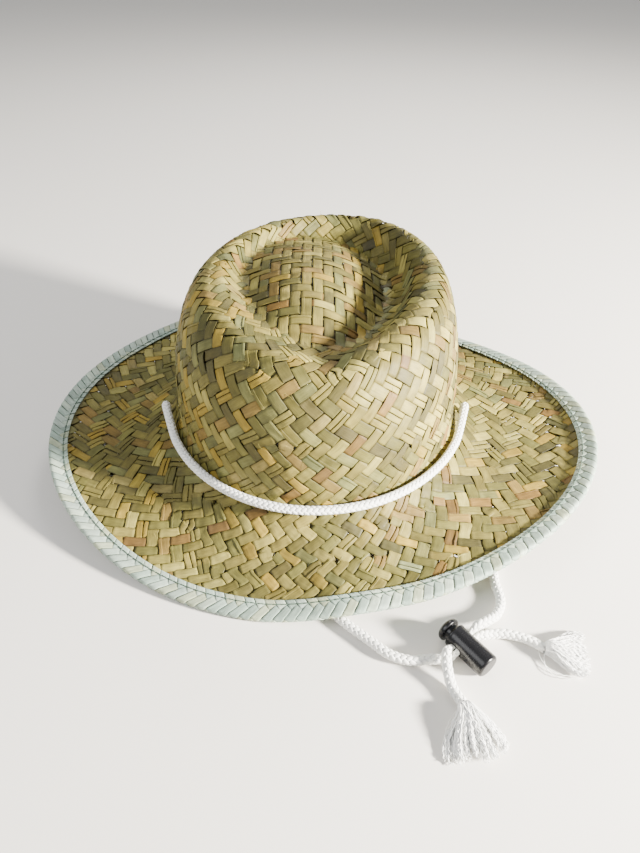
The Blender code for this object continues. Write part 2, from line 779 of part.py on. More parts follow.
def make_lock(looks, holder):
    """Builds the lock around its own axis and sets it down on the table."""
    place = Vector(LOCK_AT + CROWN_AT)
    body_frame = empty("lock_frame", place, LOCK_TURN)
    plunger_frame = empty("plunger_axis", place, LOCK_TURN)
    hang_on(body_frame, holder)
    hang_on(plunger_frame, body_frame)
    barrel, barrel_punch = make_barrel(looks)
    plunger, plunger_punch = make_plunger(looks)
    spring = make_spring(looks)
    for piece in (barrel, barrel_punch, spring):
        piece.parent = body_frame
    for piece in (plunger, plunger_punch):
        piece.parent = plunger_frame


def make_chin_cord(looks):
    hinge = empty("chin_cord_hinge", Vector(np.array([0, HOLE_Y, HINGE_HEIGHT]) + CROWN_AT))
    left = free_cord("chin_cord_left", HOLE_LEFT_X, LEFT_CORD_ROUTE, 76, looks["left_cord"])
    right = free_cord("chin_cord_right", HOLE_RIGHT_X, RIGHT_CORD_ROUTE, 62, looks["right_cord"])
    front = make_tassel(
        "tassel_front", RIGHT_CORD_ROUTE, FRONT_TASSEL_TIP, 15.0 * MM, looks["front_tassel"]
    )
    side = make_tassel(
        "tassel_right", LEFT_CORD_ROUTE, RIGHT_TASSEL_TIP, 11.0 * MM, looks["right_tassel"]
    )
    for piece in (left, right, front, side):
        hang_on(piece, hinge)
    make_lock(looks, hinge)


def main():
    clear_scene()
    looks = make_materials()
    make_tip(looks)
    make_crown_side(looks)
    make_brim(looks)
    make_binding(looks)
    make_edge_thread("binding_top_thread", STITCH_INSET, 1, looks["top_thread"])
    make_edge_thread("binding_under_thread", BOBBIN_INSET, -1, looks["under_thread"])
    make_sweatband(looks)
    make_sweatband_thread(looks)
    make_cord_band(looks)
    make_chin_cord(looks)


main()
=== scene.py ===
"""The look of a plaited seagrass hat with a bound brim, a braided chin cord and a cord lock.

The plait is woven here strip by strip: two families of leaf strips run diagonally over the
crown and the brim, and a square weave covers the dome inside the crown's crease. The binding,
the cords and the tassels are made of their own strands too. Lengths are metres, the hat stands
on z = 0 and its front faces -Y. Angles are counted from the front towards +X.
"""

import math

import bmesh
import bpy
import numpy as np
from mathutils import Matrix, Vector


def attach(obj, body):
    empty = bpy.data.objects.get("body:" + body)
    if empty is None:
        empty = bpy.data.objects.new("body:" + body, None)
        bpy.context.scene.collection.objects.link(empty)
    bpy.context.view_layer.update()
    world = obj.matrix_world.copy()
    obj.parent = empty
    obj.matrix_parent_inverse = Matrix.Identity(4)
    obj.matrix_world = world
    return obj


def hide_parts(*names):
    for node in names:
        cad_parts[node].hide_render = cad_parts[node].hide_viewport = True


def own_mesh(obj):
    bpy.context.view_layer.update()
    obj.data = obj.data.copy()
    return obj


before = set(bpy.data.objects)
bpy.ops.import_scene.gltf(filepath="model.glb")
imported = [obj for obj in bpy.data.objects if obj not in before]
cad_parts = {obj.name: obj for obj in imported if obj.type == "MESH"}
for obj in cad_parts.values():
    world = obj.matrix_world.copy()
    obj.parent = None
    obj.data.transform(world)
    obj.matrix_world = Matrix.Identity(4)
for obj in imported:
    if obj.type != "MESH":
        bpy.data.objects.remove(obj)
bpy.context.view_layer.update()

MM = 0.001

# ---------------------------------------------------------------- dimensions, as in the CAD

CROWN_AT = np.array([-4.09, -10.01, 0.0]) * MM

PLAIT = 2.4 * MM
BRIM_AT = (2.3 * MM, 2.9 * MM)
BRIM_HALF_WIDTH = 177.1 * MM
BRIM_HALF_LENGTH = 165.7 * MM
OUTLINE_COS3 = -0.042
OUTLINE_COS4 = 0.020
OUTLINE_SIN1 = -0.009
OUTLINE_SIN2 = 0.021
OUTLINE_SIN3 = -0.016

EDGE_REST = 1.8 * MM
RISE_LEFT = 23.1 * MM
RISE_RIGHT = 24.8 * MM
RISE_POWER_FRONT = 1.8
RISE_POWER_BACK = 1.17
FLAT_SHARE = 0.10
FRONT_TURN = math.radians(18)
BACK_TURN = math.radians(12)
CORD_LIFT = 5.0 * MM
CORD_LIFT_AT = math.radians(6)
CORD_LIFT_WIDTH = math.radians(13)
EDGE_SLOPE_END = math.radians(-10.5)
EDGE_SLOPE_SIDE = math.radians(20)

FOOT_HALF_WIDTH = 91.8 * MM
FOOT_HALF_LENGTH = 104.0 * MM
FOOT_HEIGHT = 40.0 * MM
WALL_LEAN = 0.10
WALL_SQUARE = 2.6
CREST_AT = (4.0 * MM, 6.0 * MM)
CREST_HALF_WIDTH = 66.0 * MM
CREST_HALF_LENGTH = 86.0 * MM
CREST_TAPER = 0.12
CREST_SKEW = -0.03
CREST_HEIGHT = 125.0 * MM
CREST_TILT = 2.0 * MM
CREST_FRONT_DROP = 8.0 * MM
PINCH_DROP = 5.0 * MM
DOME_AT = (-6.0 * MM, 10.0 * MM)
DOME_HEIGHT = 124.5 * MM
DOME_ROUND = 1.9
GROOVE_HEIGHT = 106.0 * MM
GROOVE_LEAN = 7.0 * MM
GROOVE_LEAN_AT = math.radians(105)
GROOVE_SHARE = 0.36
GROOVE_CLOSER = 0.25
GROOVE_CLOSER_AT = math.radians(188)
GROOVE_FRONT_CLOSER = 0.08
GROOVE_CLOSER_RISE = 9.0 * MM

HOLE_Y = -13.5 * MM
HOLE_LEFT_X = -99.6 * MM
HOLE_RIGHT_X = 99.2 * MM
HINGE_HEIGHT = 21.5 * MM
CORD_RADIUS = 2.75 * MM

LOCK_AT = np.array([72.2, -168.55, 6.6]) * MM
LOCK_TURN = math.radians(-52.3)
BARREL_RADIUS = 6.5 * MM
BARREL_LENGTH = 24.0 * MM
BORE_RADIUS = 4.6 * MM
BORE_DEPTH = 22.0 * MM
PLUNGER_RADIUS = 4.52 * MM
PLUNGER_REACH = 14.0 * MM
HEAD_GAP = 2.5 * MM
HEAD_THICKNESS = 4.5 * MM
SLOT_START = 2.8 * MM
SLOT_END = 10.2 * MM
SLOT_HALF = 2.1 * MM
SPRING_RADIUS = 3.3 * MM
SPRING_WIRE = 0.35 * MM
SPRING_TURNS = 5

# The grid that the strips are laid on, from under the dome to the brim's edge
COLUMN_TURNS = np.arange(360) * math.pi / 180  # the angle of each column
UNDER_ROWS = 13  # rows that reach in under the dome's edge
FOOT_ROW = 240  # the crown's foot
EDGE_ROW = 420  # the brim's edge

# Strips of leaf
STRIP_PITCH = 9.2 * MM  # between crossings along a ring
STRIP_WIDTH = 0.7071 * STRIP_PITCH  # of a strip that crosses the rings at 45 degrees
STRIP_HALF = 0.20 * MM  # half the thickness of a strip
CROWN_RINGS = 27
BRIM_RINGS = 19
PIECES = 6  # the strips are shared out over this many pieces
STEPS_PER_RING = 8
LIFT = 0.60 * MM  # how far a strip stands above or below the middle surface
STRAY = 0.00184  # how far a crossing strays, in radians
LONE_SLOPE = 0.046  # the turn from ring to ring of a strip with a single crossing
SINK = 1.3 * MM  # how far strips of one weave go down under the other at the dome's edge
DOME_PITCH = 6.5 * MM
DOME_LIFT = 0.42 * MM
FIBRES = 110

# Profile across a strip: place from -1 to 1, and which face of the strip it is on
ACROSS = np.array([-1.0, -0.86, -0.45, 0.45, 0.86, 1.0, 0.9, 0.0, -0.9])
FACE = np.array([0.2, 1.0, 1.0, 1.0, 1.0, 0.2, -1.0, -1.0, -1.0])
MARGIN_AND_GAP_SHADE = 1 - 0.42 * np.abs(ACROSS) ** 6  # a leaf strip is darker along its two margins: partly the dry leaf's own margins, partly painted shade in the gaps between strips

LEAF_COLOURS = np.array(
    [
        (0.160, 0.133, 0.031),
        (0.112, 0.100, 0.024),
        (0.240, 0.203, 0.052),
        (0.088, 0.076, 0.018),
        (0.130, 0.126, 0.040),
        (0.168, 0.112, 0.027),
        (0.150, 0.088, 0.020),
        (0.190, 0.148, 0.042),
        (0.235, 0.165, 0.024),
        (0.170, 0.180, 0.082),
    ]
)
CROWN_WEIGHTS = np.array([27, 20, 17, 12, 9, 6, 2.0, 2, 3.5, 1.2])  # how common each colour is
DOME_WEIGHTS = np.array([22, 18, 16, 10, 6, 10, 5, 5, 4, 1.5])

BINDING_TAPE = 24.6 * MM  # width of the tape, which is folded over the edge
BINDING_REACH = 10.5 * MM  # how far in from the brim's edge the tape goes on each face
BINDING_SKIN = PLAIT / 2 + 0.55 * MM  # from the brim's middle surface to the tape's
BINDING_PITCH = 6.3 * MM
BINDING_TIME = (0.1, 6.9)  # a strip of the tape from edge to edge, in crossings
BINDING_COLOURS = np.array(
    [(0.33, 0.40, 0.34), (0.28, 0.36, 0.30), (0.38, 0.45, 0.36), (0.34, 0.38, 0.26)]
)
STITCH = 4.2 * MM  # length of the binding's stitches
STITCH_POINTS = 8  # points along each stitch

SWEATBAND_ROWS = (205, 238)  # rows of the grid at its top and at its bottom
SWEATBAND_STITCH_ROW = 231.0

# Braided cord
BRAID_PITCH = 19.0 * MM
BRAID_HALF = 6  # strands that wind each way
BRAID_RELIEF = 0.40 * MM
STRAND_HALF_WIDTH = 1.04 * MM
STRAND_HALF_THICKNESS = 0.52 * MM
SQUEEZED_RADIUS = 1.6 * MM  # of the cords inside the lock
CORD_STEP = 0.5 * MM
TASSEL_THREADS = 300

LEFT_CORD_ROUTE = [
    (-99.6, -14.3, 15.0),
    (-97.0, -23.0, 6.8),
    (-89.5, -40.0, 3.3),
    (-72.5, -70.0, 2.9),
    (-44.5, -99.0, 2.9),
    (-16.5, -123.0, 2.9),
    (1.5, -144.5, 2.9),
    (15.9, -159.2, 2.9),
    (28.6, -170.1, 2.9),
    (38.3, -178.0, 2.9),
    (48.3, -181.3, 2.9),
    (58.5, -180.6, 2.9),
    (64.8, -180.6, 2.9),
    (68.9, -180.6, 4.3),
    (71.8, -179.2, 6.3),
    (74.6, -177.05, 6.6),
    (79.8, -173.0, 6.6),
    (82.6, -170.85, 6.3),
    (86.2, -168.5, 4.7),
    (92.4, -166.2, 2.9),
    (99.0, -165.6, 2.9),
    (106.5, -167.2, 2.9),
    (112.7, -169.8, 2.9),
    (119.3, -174.3, 2.9),
]
RIGHT_CORD_ROUTE = [
    (99.2, -14.3, 15.0),
    (101.8, -23.5, 6.8),
    (107.5, -48.0, 3.1),
    (108.0, -82.0, 2.9),
    (104.0, -111.0, 2.9),
    (101.9, -131.8, 2.9),
    (102.4, -145.3, 3.0),
    (97.9, -154.9, 4.4),
    (91.3, -160.6, 6.9),
    (85.6, -163.9, 7.8),
    (80.8, -167.85, 6.8),
    (77.7, -170.3, 6.6),
    (72.5, -174.3, 6.6),
    (69.7, -176.5, 6.9),
    (67.6, -178.3, 8.7),
    (66.0, -182.0, 9.6),
    (65.9, -188.4, 6.8),
    (67.6, -196.0, 3.1),
    (71.5, -204.1, 2.9),
]

rng = np.random.default_rng(7)


def unit(vectors):
    """Vectors of the same directions and a length of one."""
    return vectors / (np.linalg.norm(vectors, axis=-1, keepdims=True) + 1e-12)


def run_along(points):
    """Distance along a line from its first point to each of its points."""
    return np.concatenate([[0], np.cumsum(np.linalg.norm(np.diff(points, axis=0), axis=1))])


def eased(share):
    """Goes from 0 to 1 with a soft start and a soft end."""
    share = np.clip(share, 0, 1)
    return share * share * (3 - 2 * share)


def put(name, data):
    """A new object in the scene that shows a mesh, a light or a camera."""
    made = bpy.data.objects.new(name, data)
    bpy.context.scene.collection.objects.link(made)
    return made


# ---------------------------------------------------------------- the hat's middle surface


def front_share(turn):
    """1 at the hat's front, 0 at its back."""
    return (1 + np.cos(turn)) / 2


def from_front(turn):
    """The angle from the front, between minus and plus half a turn."""
    return np.arctan2(np.sin(turn), np.cos(turn))


def sideways(turn):
    """How far a direction points to the side, from -1 to 1, turned as the brim's curl is."""
    front = front_share(turn)
    return np.sin(turn + FRONT_TURN * front**2 + BACK_TURN * (1 - front) ** 2)


def edge_height(turn):
    """Height of the brim's edge: flat at the front and back but for a lift over the cords."""
    front = front_share(turn)
    across = sideways(turn)
    share = np.clip((np.abs(across) - FLAT_SHARE) / (1 - FLAT_SHARE), 0, None)
    power = RISE_POWER_FRONT * front + RISE_POWER_BACK * (1 - front)
    rise = np.where(across > 0, RISE_RIGHT, RISE_LEFT)
    lift = CORD_LIFT * np.exp(-(((from_front(turn) - CORD_LIFT_AT) / CORD_LIFT_WIDTH) ** 2))
    return EDGE_REST + rise * share**power + lift


def brim_edge(turn):
    """The brim's outline: an ellipse with a few shallow waves added."""
    waves = (
        1
        + OUTLINE_COS3 * np.cos(3 * turn)
        + OUTLINE_COS4 * np.cos(4 * turn)
        + OUTLINE_SIN1 * np.sin(turn)
        + OUTLINE_SIN2 * np.sin(2 * turn)
        + OUTLINE_SIN3 * np.sin(3 * turn)
    )
    x = BRIM_AT[0] + BRIM_HALF_WIDTH * waves * np.sin(turn)
    y = BRIM_AT[1] - BRIM_HALF_LENGTH * waves * np.cos(turn)
    return np.stack([x, y, edge_height(turn)], axis=-1)


def crown_foot(turn):
    """The oval where the crown meets the brim."""
    x = FOOT_HALF_WIDTH * np.sin(turn)
    y = -FOOT_HALF_LENGTH * np.cos(turn)
    return np.stack([x, y, np.full_like(turn, FOOT_HEIGHT)], axis=-1)


def crest(turn):
    """The crown's top line, which dips at the front, where it is pinched."""
    skew = 1 + CREST_SKEW * np.sin(2 * turn)
    egg = 1 - CREST_TAPER * np.cos(turn)
    x = CREST_AT[0] + CREST_HALF_WIDTH * np.sin(turn) * egg * skew
    y = CREST_AT[1] - CREST_HALF_LENGTH * np.cos(turn) * skew
    pinch = np.exp(-((from_front(turn) / math.radians(14)) ** 2))
    z = CREST_HEIGHT - CREST_FRONT_DROP * front_share(turn) ** 2 - PINCH_DROP * pinch
    return np.stack([x, y, z + CREST_TILT * np.sin(turn)], axis=-1)


def brim_rows(turn, count):
    """Points down each column of the brim, from the crown's foot to the edge."""
    up = np.array([0.0, 0.0, 1.0])
    start = crown_foot(turn)
    end = brim_edge(turn)
    flat = end[:, :2] - start[:, :2]
    reach = np.linalg.norm(flat, axis=1)
    away = np.concatenate([flat / reach[:, None], np.zeros((len(turn), 1))], axis=1)
    slope = EDGE_SLOPE_END + (EDGE_SLOPE_SIDE - EDGE_SLOPE_END) * sideways(turn) ** 2
    first = start + (away * 0.16 - up) * 13.0 * MM
    arrive = away * np.cos(slope)[:, None] + up * np.sin(slope)[:, None]
    second = end - arrive * (0.62 * reach)[:, None]
    steps = np.linspace(0, 1, count)[:, None, None]
    return (
        (1 - steps) ** 3 * start
        + 3 * (1 - steps) ** 2 * steps * first
        + 3 * (1 - steps) * steps**2 * second
        + steps**3 * end
    )


def squared_off(value):
    """A sine or cosine whose curve is fuller at its corners than a circle's."""
    return math.copysign(abs(value) ** (2 / WALL_SQUARE), value)


def wall_row(turn, lean):
    """A ring of the crown's wall: lean is 0 at its foot and a quarter turn at the crest."""
    height = squared_off(math.sin(lean))
    inward = WALL_LEAN * height + (1 - WALL_LEAN) * (1 - squared_off(math.cos(lean)))
    foot = crown_foot(turn)
    top = crest(turn)
    ring = foot + (top - foot) * inward
    ring[:, 2] = foot[:, 2] + (top[:, 2] - foot[:, 2]) * height
    return ring


def groove_nearness(turn):
    """1 where the crease runs closest to the crest, 0 opposite."""
    return (1 + np.cos(turn - GROOVE_CLOSER_AT)) / 2


def groove_share(turn):
    """How far in from the crest the bottom of the crease lies: 1 is the dome's centre."""
    share = GROOVE_SHARE - GROOVE_CLOSER * groove_nearness(turn) ** 3
    return share - GROOVE_FRONT_CLOSER * front_share(turn) ** 4


def tip_height(turn, top, inward):
    """Height inside the crest: inward is 0 on it and 1 at the dome's centre."""
    groove = GROOVE_HEIGHT - GROOVE_LEAN * np.cos(turn - GROOVE_LEAN_AT)
    groove = groove + 1.5 * MM * front_share(turn) ** 4
    groove = groove + GROOVE_CLOSER_RISE * groove_nearness(turn) ** 3
    down = 0.5 - 0.5 * np.cos(math.pi * np.minimum(inward / GROOVE_SHARE, 1))
    climb = np.maximum(inward - GROOVE_SHARE, 0) / (1 - GROOVE_SHARE)
    soft = 0.08
    climb = (np.hypot(climb, soft) - soft) / (math.hypot(1, soft) - soft)
    inside = groove + (DOME_HEIGHT - groove) * (1 - (1 - climb) ** DOME_ROUND)
    return np.where(inward <= GROOVE_SHARE, top + (groove - top) * down, inside)


def tip_row(turn, inward):
    """A ring inside the crest. The bottom of the crease is at inward = GROOVE_SHARE."""
    top = crest(turn)
    share = groove_share(turn)
    if inward <= GROOVE_SHARE:
        along = share * inward / GROOVE_SHARE
    else:
        along = share + (1 - share) * (inward - GROOVE_SHARE) / (1 - GROOVE_SHARE)
    middle = np.array([DOME_AT[0], DOME_AT[1], 0.0])
    ring = top + (middle - top) * along[:, None]
    ring[:, 2] = tip_height(turn, top[:, 2], inward)
    return ring


# ---------------------------------------------------------------- a surface to weave on


def even_rows(rows, count):
    """Spreads the rows of a grid of points evenly along each of its columns."""
    rows = np.asarray(rows)
    run = np.zeros(rows.shape[:2])
    run[1:] = np.cumsum(np.linalg.norm(np.diff(rows, axis=0), axis=2), axis=0)
    out = np.empty((count, rows.shape[1], 3))
    for column in range(rows.shape[1]):
        wanted = np.linspace(0, run[-1, column], count)
        for axis in range(3):
            out[:, column, axis] = np.interp(wanted, run[:, column], rows[:, column, axis])
    return out


class Cloth:
    """A surface closed around the hat, read by angle and by row number."""

    def __init__(self, grid):
        self.grid = grid
        self.rows, self.columns = grid.shape[:2]
        around = np.roll(grid, -1, axis=1) - np.roll(grid, 1, axis=1)
        self.normal = unit(np.cross(np.gradient(grid, axis=0), around))
        ring = np.concatenate([grid, grid[:, :1]], axis=1)
        pieces = np.linalg.norm(np.diff(ring, axis=1), axis=2)
        self.around = np.concatenate([np.zeros((self.rows, 1)), np.cumsum(pieces, axis=1)], axis=1)

    def read(self, table, turn, row):
        """Values of a table of the grid's size, between its columns and rows."""
        column = np.mod(turn / (2 * math.pi), 1.0) * self.columns
        left = np.floor(column).astype(int) % self.columns
        right = (left + 1) % self.columns
        across = (column - np.floor(column))[..., None]
        row = np.clip(row, 0, self.rows - 1.000001)
        above = np.floor(row).astype(int)
        down = (row - above)[..., None]
        upper = table[above, left] * (1 - across) + table[above, right] * across
        lower = table[above + 1, left] * (1 - across) + table[above + 1, right] * across
        return upper * (1 - down) + lower * down

    def at(self, turn, row):
        """Points of the surface and its normals there."""
        return self.read(self.grid, turn, row), unit(self.read(self.normal, turn, row))

    def arc(self, row):
        """Distance around the ring at a row, for every column of the grid and back again."""
        low = int(min(row, self.rows - 1.000001))
        part = row - low
        return self.around[low] * (1 - part) + self.around[min(low + 1, self.rows - 1)] * part


def turn_at(run, arc):
    """The angle at a distance around a ring, which may be more than one turn or less than 0."""
    turns = np.linspace(0, 2 * math.pi, len(arc))
    return np.interp(np.mod(run, arc[-1]), arc, turns) + 2 * math.pi * (run // arc[-1])


def run_at(turn, arc):
    """The distance around a ring at an angle: turn_at the other way round."""
    turns = np.linspace(0, 2 * math.pi, len(arc))
    return np.interp(np.mod(turn, 2 * math.pi), turns, arc) + arc[-1] * (turn // (2 * math.pi))


def hat_cloth():
    """Crown side and brim together, from under the dome's edge to the edge of the brim."""
    turn = COLUMN_TURNS
    under = [tip_row(turn, share) for share in np.linspace(GROOVE_SHARE + 0.07, GROOVE_SHARE, 20)]
    tip = [tip_row(turn, share) for share in np.linspace(GROOVE_SHARE, 0, 60)]
    leans = math.pi / 4 * (1 + np.cos(np.linspace(0, math.pi, 160)[1:]))
    wall = [wall_row(turn, lean) for lean in leans]
    crown = even_rows(tip + wall, FOOT_ROW - UNDER_ROWS + 2)[1:]
    brim = even_rows(brim_rows(turn, 200), EDGE_ROW - FOOT_ROW + 1)[1:]
    grid = np.concatenate([even_rows(under, UNDER_ROWS), crown, brim])
    for _ in range(3):
        grid[1:-1] = grid[1:-1] + 0.25 * (grid[2:] - 2 * grid[1:-1] + grid[:-2])
    return Cloth(grid)


# ---------------------------------------------------------------- the plan of the weave


def noise_line(count, step, strength):
    """Smooth random numbers along a line, one new value every step points."""
    knots = rng.normal(0, strength, max(2, int(count / step) + 3))
    return np.interp(np.arange(count) / step, np.arange(len(knots)), knots)


def widest_gaps(gaps, wanted):
    """Picks the widest gaps, no two of them side by side."""
    order = np.argsort(-gaps * rng.uniform(0.94, 1.06, len(gaps)))
    chosen = set()
    for here in order:
        if len(chosen) == wanted:
            break
        if not chosen & {(here - 1) % len(gaps), (here + 1) % len(gaps)}:
            chosen.add(int(here))
    return chosen


def beside(run, total):
    """For each of the distances around a ring, the one after it and the one before it."""
    return np.append(run[1:], run[0] + total), np.insert(run[:-1], 0, run[-1] - total)


def weave_plan(cloth, rows):
    """Where the two families cross: each ring's crossings lie between those of the ring before.

    Strips are added where a ring has grown, so that the pitch stays the same. Returns the
    strips of both families as lists of ring number, angle and distance to the neighbours.
    """
    arc = cloth.arc(rows[0])
    count = round(arc[-1] / STRIP_PITCH)
    gap = arc[-1] / count
    place = turn_at((np.arange(count) + rng.random()) * arc[-1] / count, arc)
    right_of = list(range(count))
    left_of = list(range(count))
    strips = {way: [[(0, spot, gap)] for spot in place] for way in ("right", "left")}
    for ring in range(1, len(rows)):
        arc = cloth.arc(rows[ring])
        total = arc[-1]
        count = len(place)
        extra = int(np.clip(round(total / STRIP_PITCH) - count, 0, count // 4))
        after = np.append(place[1:], place[0] + 2 * math.pi)
        chosen = widest_gaps(run_at(after, arc) - run_at(place, arc), extra)
        new_place, new_right, new_left = [], [], []
        for here in range(count):
            gap = after[here] - place[here]
            mate = left_of[(here + 1) % count]
            if here not in chosen:
                new_place.append(place[here] + gap / 2)
                new_right.append(right_of[here])
                new_left.append(mate)
                continue
            strips["left"].append([])
            strips["right"].append([])
            new_place += [place[here] + gap * 0.25, place[here] + gap * 0.75]
            new_right += [right_of[here], len(strips["right"]) - 1]
            new_left += [len(strips["left"]) - 1, mate]
        run = run_at(np.array(new_place), arc)
        for _ in range(5):
            ahead, behind = beside(run, total)
            run = run + 0.45 * ((ahead + behind) / 2 - run)
        ahead, behind = beside(run, total)
        gaps = (ahead - behind) / 2
        place = turn_at(run, arc)
        right_of, left_of = new_right, new_left
        for here, spot in enumerate(place):
            strips["right"][right_of[here]].append((ring, spot, gaps[here]))
            strips["left"][left_of[here]].append((ring, spot, gaps[here]))
    return strips


def over(family, ring):
    """Two rings over and two rings under, turn about, so each row's floats all lean one way."""
    first = (ring % 4) < 2
    return first if family == "right" else not first


def strip_heights(family, time, lift, dive=0.17):
    """Height at each time, in rings: a plateau over or under, and a steep dive between."""
    ring = np.floor(time).astype(int)
    part = time - ring
    here = np.where(np.array([over(family, r) for r in ring]), 1.0, -1.0)
    there = np.where(np.array([over(family, r + 1) for r in ring]), 1.0, -1.0)
    blend = eased((part - (0.5 - dive)) / (2 * dive))
    height = here * (1 - blend) + there * blend
    bulge = np.where(here == there, 0.30 * np.sin(math.pi * part), 0)
    return lift * (height + bulge * np.maximum(here, 0))


# ---------------------------------------------------------------- meshes of strips and strands


class Soup:
    """Collects ribbons and tubes of one mesh, with a colour and a place along the strip."""

    def __init__(self):
        self.points = []
        self.faces = []
        self.uv = []
        self.colour = []
        self.count = 0

    def add_rings(self, rings, along, colour, across=None):
        """rings is (steps, sides, 3). Each ring is joined to the next, and the ends stay open."""
        steps, sides = rings.shape[:2]
        if across is None:
            across = np.arange(sides) / sides
        step, side = np.meshgrid(np.arange(steps - 1), np.arange(sides), indexing="ij")
        here = self.count + step * sides + side
        after = self.count + step * sides + (side + 1) % sides
        quads = np.stack([here, after, after + sides, here + sides], axis=-1)
        uv = np.stack(np.broadcast_arrays(across, along[:, None]), axis=-1)
        self.points.append(rings.reshape(-1, 3))
        self.faces.append(quads.reshape(-1, 4))
        self.uv.append(uv.reshape(-1, 2))
        self.colour.append(np.broadcast_to(colour, (steps, sides, 3)).reshape(-1, 3))
        self.count += steps * sides

    def build(self, name, look):
        """One object of all that was added, with its strip map and its tint."""
        points = np.concatenate(self.points)
        quads = np.concatenate(self.faces)
        uv = np.concatenate(self.uv)
        colour = np.concatenate(self.colour)
        mesh = bpy.data.meshes.new(name)
        mesh.vertices.add(len(points))
        mesh.vertices.foreach_set("co", points.astype(np.float32).ravel())
        mesh.loops.add(quads.size)
        mesh.loops.foreach_set("vertex_index", quads.astype(np.int32).ravel())
        mesh.polygons.add(len(quads))
        mesh.polygons.foreach_set("loop_start", np.arange(0, quads.size, 4, dtype=np.int32))
        mesh.update(calc_edges=True)
        layer = mesh.uv_layers.new(name="strip")
        layer.data.foreach_set("uv", uv[quads.ravel()].astype(np.float32).ravel())
        paint = mesh.color_attributes.new("tint", "FLOAT_COLOR", "POINT")
        rgba = np.concatenate([colour, np.ones((len(colour), 1))], axis=1)
        paint.data.foreach_set("color", rgba.astype(np.float32).ravel())
        mesh.polygons.foreach_set("use_smooth", np.ones(len(quads), dtype=bool))
        mesh.materials.append(look)
        mesh.validate()
        return put(name, mesh)


def ribbon(soup, middle, normal, half_width, half_thick, colour, start, shape):
    """One strip. shape holds its crown, its tilt and the curl of its two edges, in metres."""
    tangent = unit(np.gradient(middle, axis=0))
    side = unit(np.cross(tangent, normal))
    lift = np.cross(side, tangent)
    bend = -shape["crown"][:, None] * ACROSS**2 + shape["tilt"][:, None] * ACROSS
    for curl, way in (("curl_left", -1), ("curl_right", 1)):
        bend = bend + shape[curl][:, None] * np.clip(way * ACROSS - 0.55, 0, 1) ** 2 * 4
    height = bend + FACE * half_thick
    rings = (
        middle[:, None, :]
        + side[:, None, :] * (ACROSS * half_width[:, None])[..., None]
        + lift[:, None, :] * height[..., None]
    )
    soup.add_rings(rings, run_along(middle) + start, colour, ACROSS * 0.5 + 0.5)


def leaf_colour(weights, steps):
    """A strip's colour along its length: one leaf's, sometimes joined by another's."""
    weights = weights / weights.sum()
    colour = LEAF_COLOURS[rng.choice(len(weights), p=weights)]
    row = np.tile(colour, (steps, 1))
    if rng.random() < 0.55 and steps > 30:
        other = LEAF_COLOURS[rng.choice(len(weights), p=weights)]
        switch = rng.integers(steps // 5, steps)
        row[switch:] = other
    shade = 1 + noise_line(steps, 9, 0.10) + noise_line(steps, 40, 0.06)
    warm = noise_line(steps, 25, 0.03)
    row = row * rng.uniform(0.86, 1.14) * shade[:, None]
    row = row * np.stack([1 + warm, 1 + 0.2 * warm, 1 - warm], axis=1)
    return np.clip(row, 0.02, 1)


def strip_shape(steps):
    """How a strip bows and tilts along its length, and how much each edge curls up."""
    return {
        "crown": np.full(steps, rng.uniform(0.0, 0.26) * MM) + noise_line(steps, 10, 0.08 * MM),
        "tilt": noise_line(steps, 7, 0.20 * MM),
        "curl_left": np.full(steps, max(0, rng.normal(-0.1, 0.45)) * MM * 0.5),
        "curl_right": np.full(steps, max(0, rng.normal(-0.1, 0.45)) * MM * 0.5),
    }


def strip_side(points, normal):
    """Directions across a strip."""
    return unit(np.cross(np.gradient(points, axis=0), normal))


def split_strip(soup, points, normal, width, colour, shape):
    """A leaf that has split along its length into two narrow strips."""
    share = rng.uniform(0.35, 0.65)
    side = strip_side(points, normal)
    for low, high in ((-1.0, 2 * share - 1 - 0.05), (2 * share - 1 + 0.05, 1.0)):
        middle = points + side * ((low + high) / 2 * width / 2)[:, None]
        middle = middle + normal * rng.uniform(-0.05, 0.08) * MM
        half = (high - low) / 2 * width / 2
        narrow = {key: value * 0.5 for key, value in shape.items()}
        shade = colour * rng.uniform(0.9, 1.1)
        ribbon(soup, middle, normal, half, STRIP_HALF, shade, rng.uniform(0, 5), narrow)


def folded_edge(soup, points, normal, width, colour, shape):
    """The leaf's edge folded back on top of it, as a narrow second layer."""
    which = rng.choice([-1.0, 1.0])
    share = rng.uniform(0.16, 0.34)
    side = strip_side(points, normal)
    middle = points + side * (which * (1 - share) * width / 2)[:, None]
    middle = middle + normal * (STRIP_HALF * 1.7)
    narrow = {key: value * 0.3 for key, value in shape.items()}
    narrow["tilt"] = narrow["tilt"] - which * 0.10 * MM
    shade = colour * rng.uniform(0.95, 1.2)
    half = share * width / 2
    ribbon(soup, middle, normal, half, STRIP_HALF * 0.8, shade, rng.uniform(0, 5), narrow)


# ---------------------------------------------------------------- crown and brim


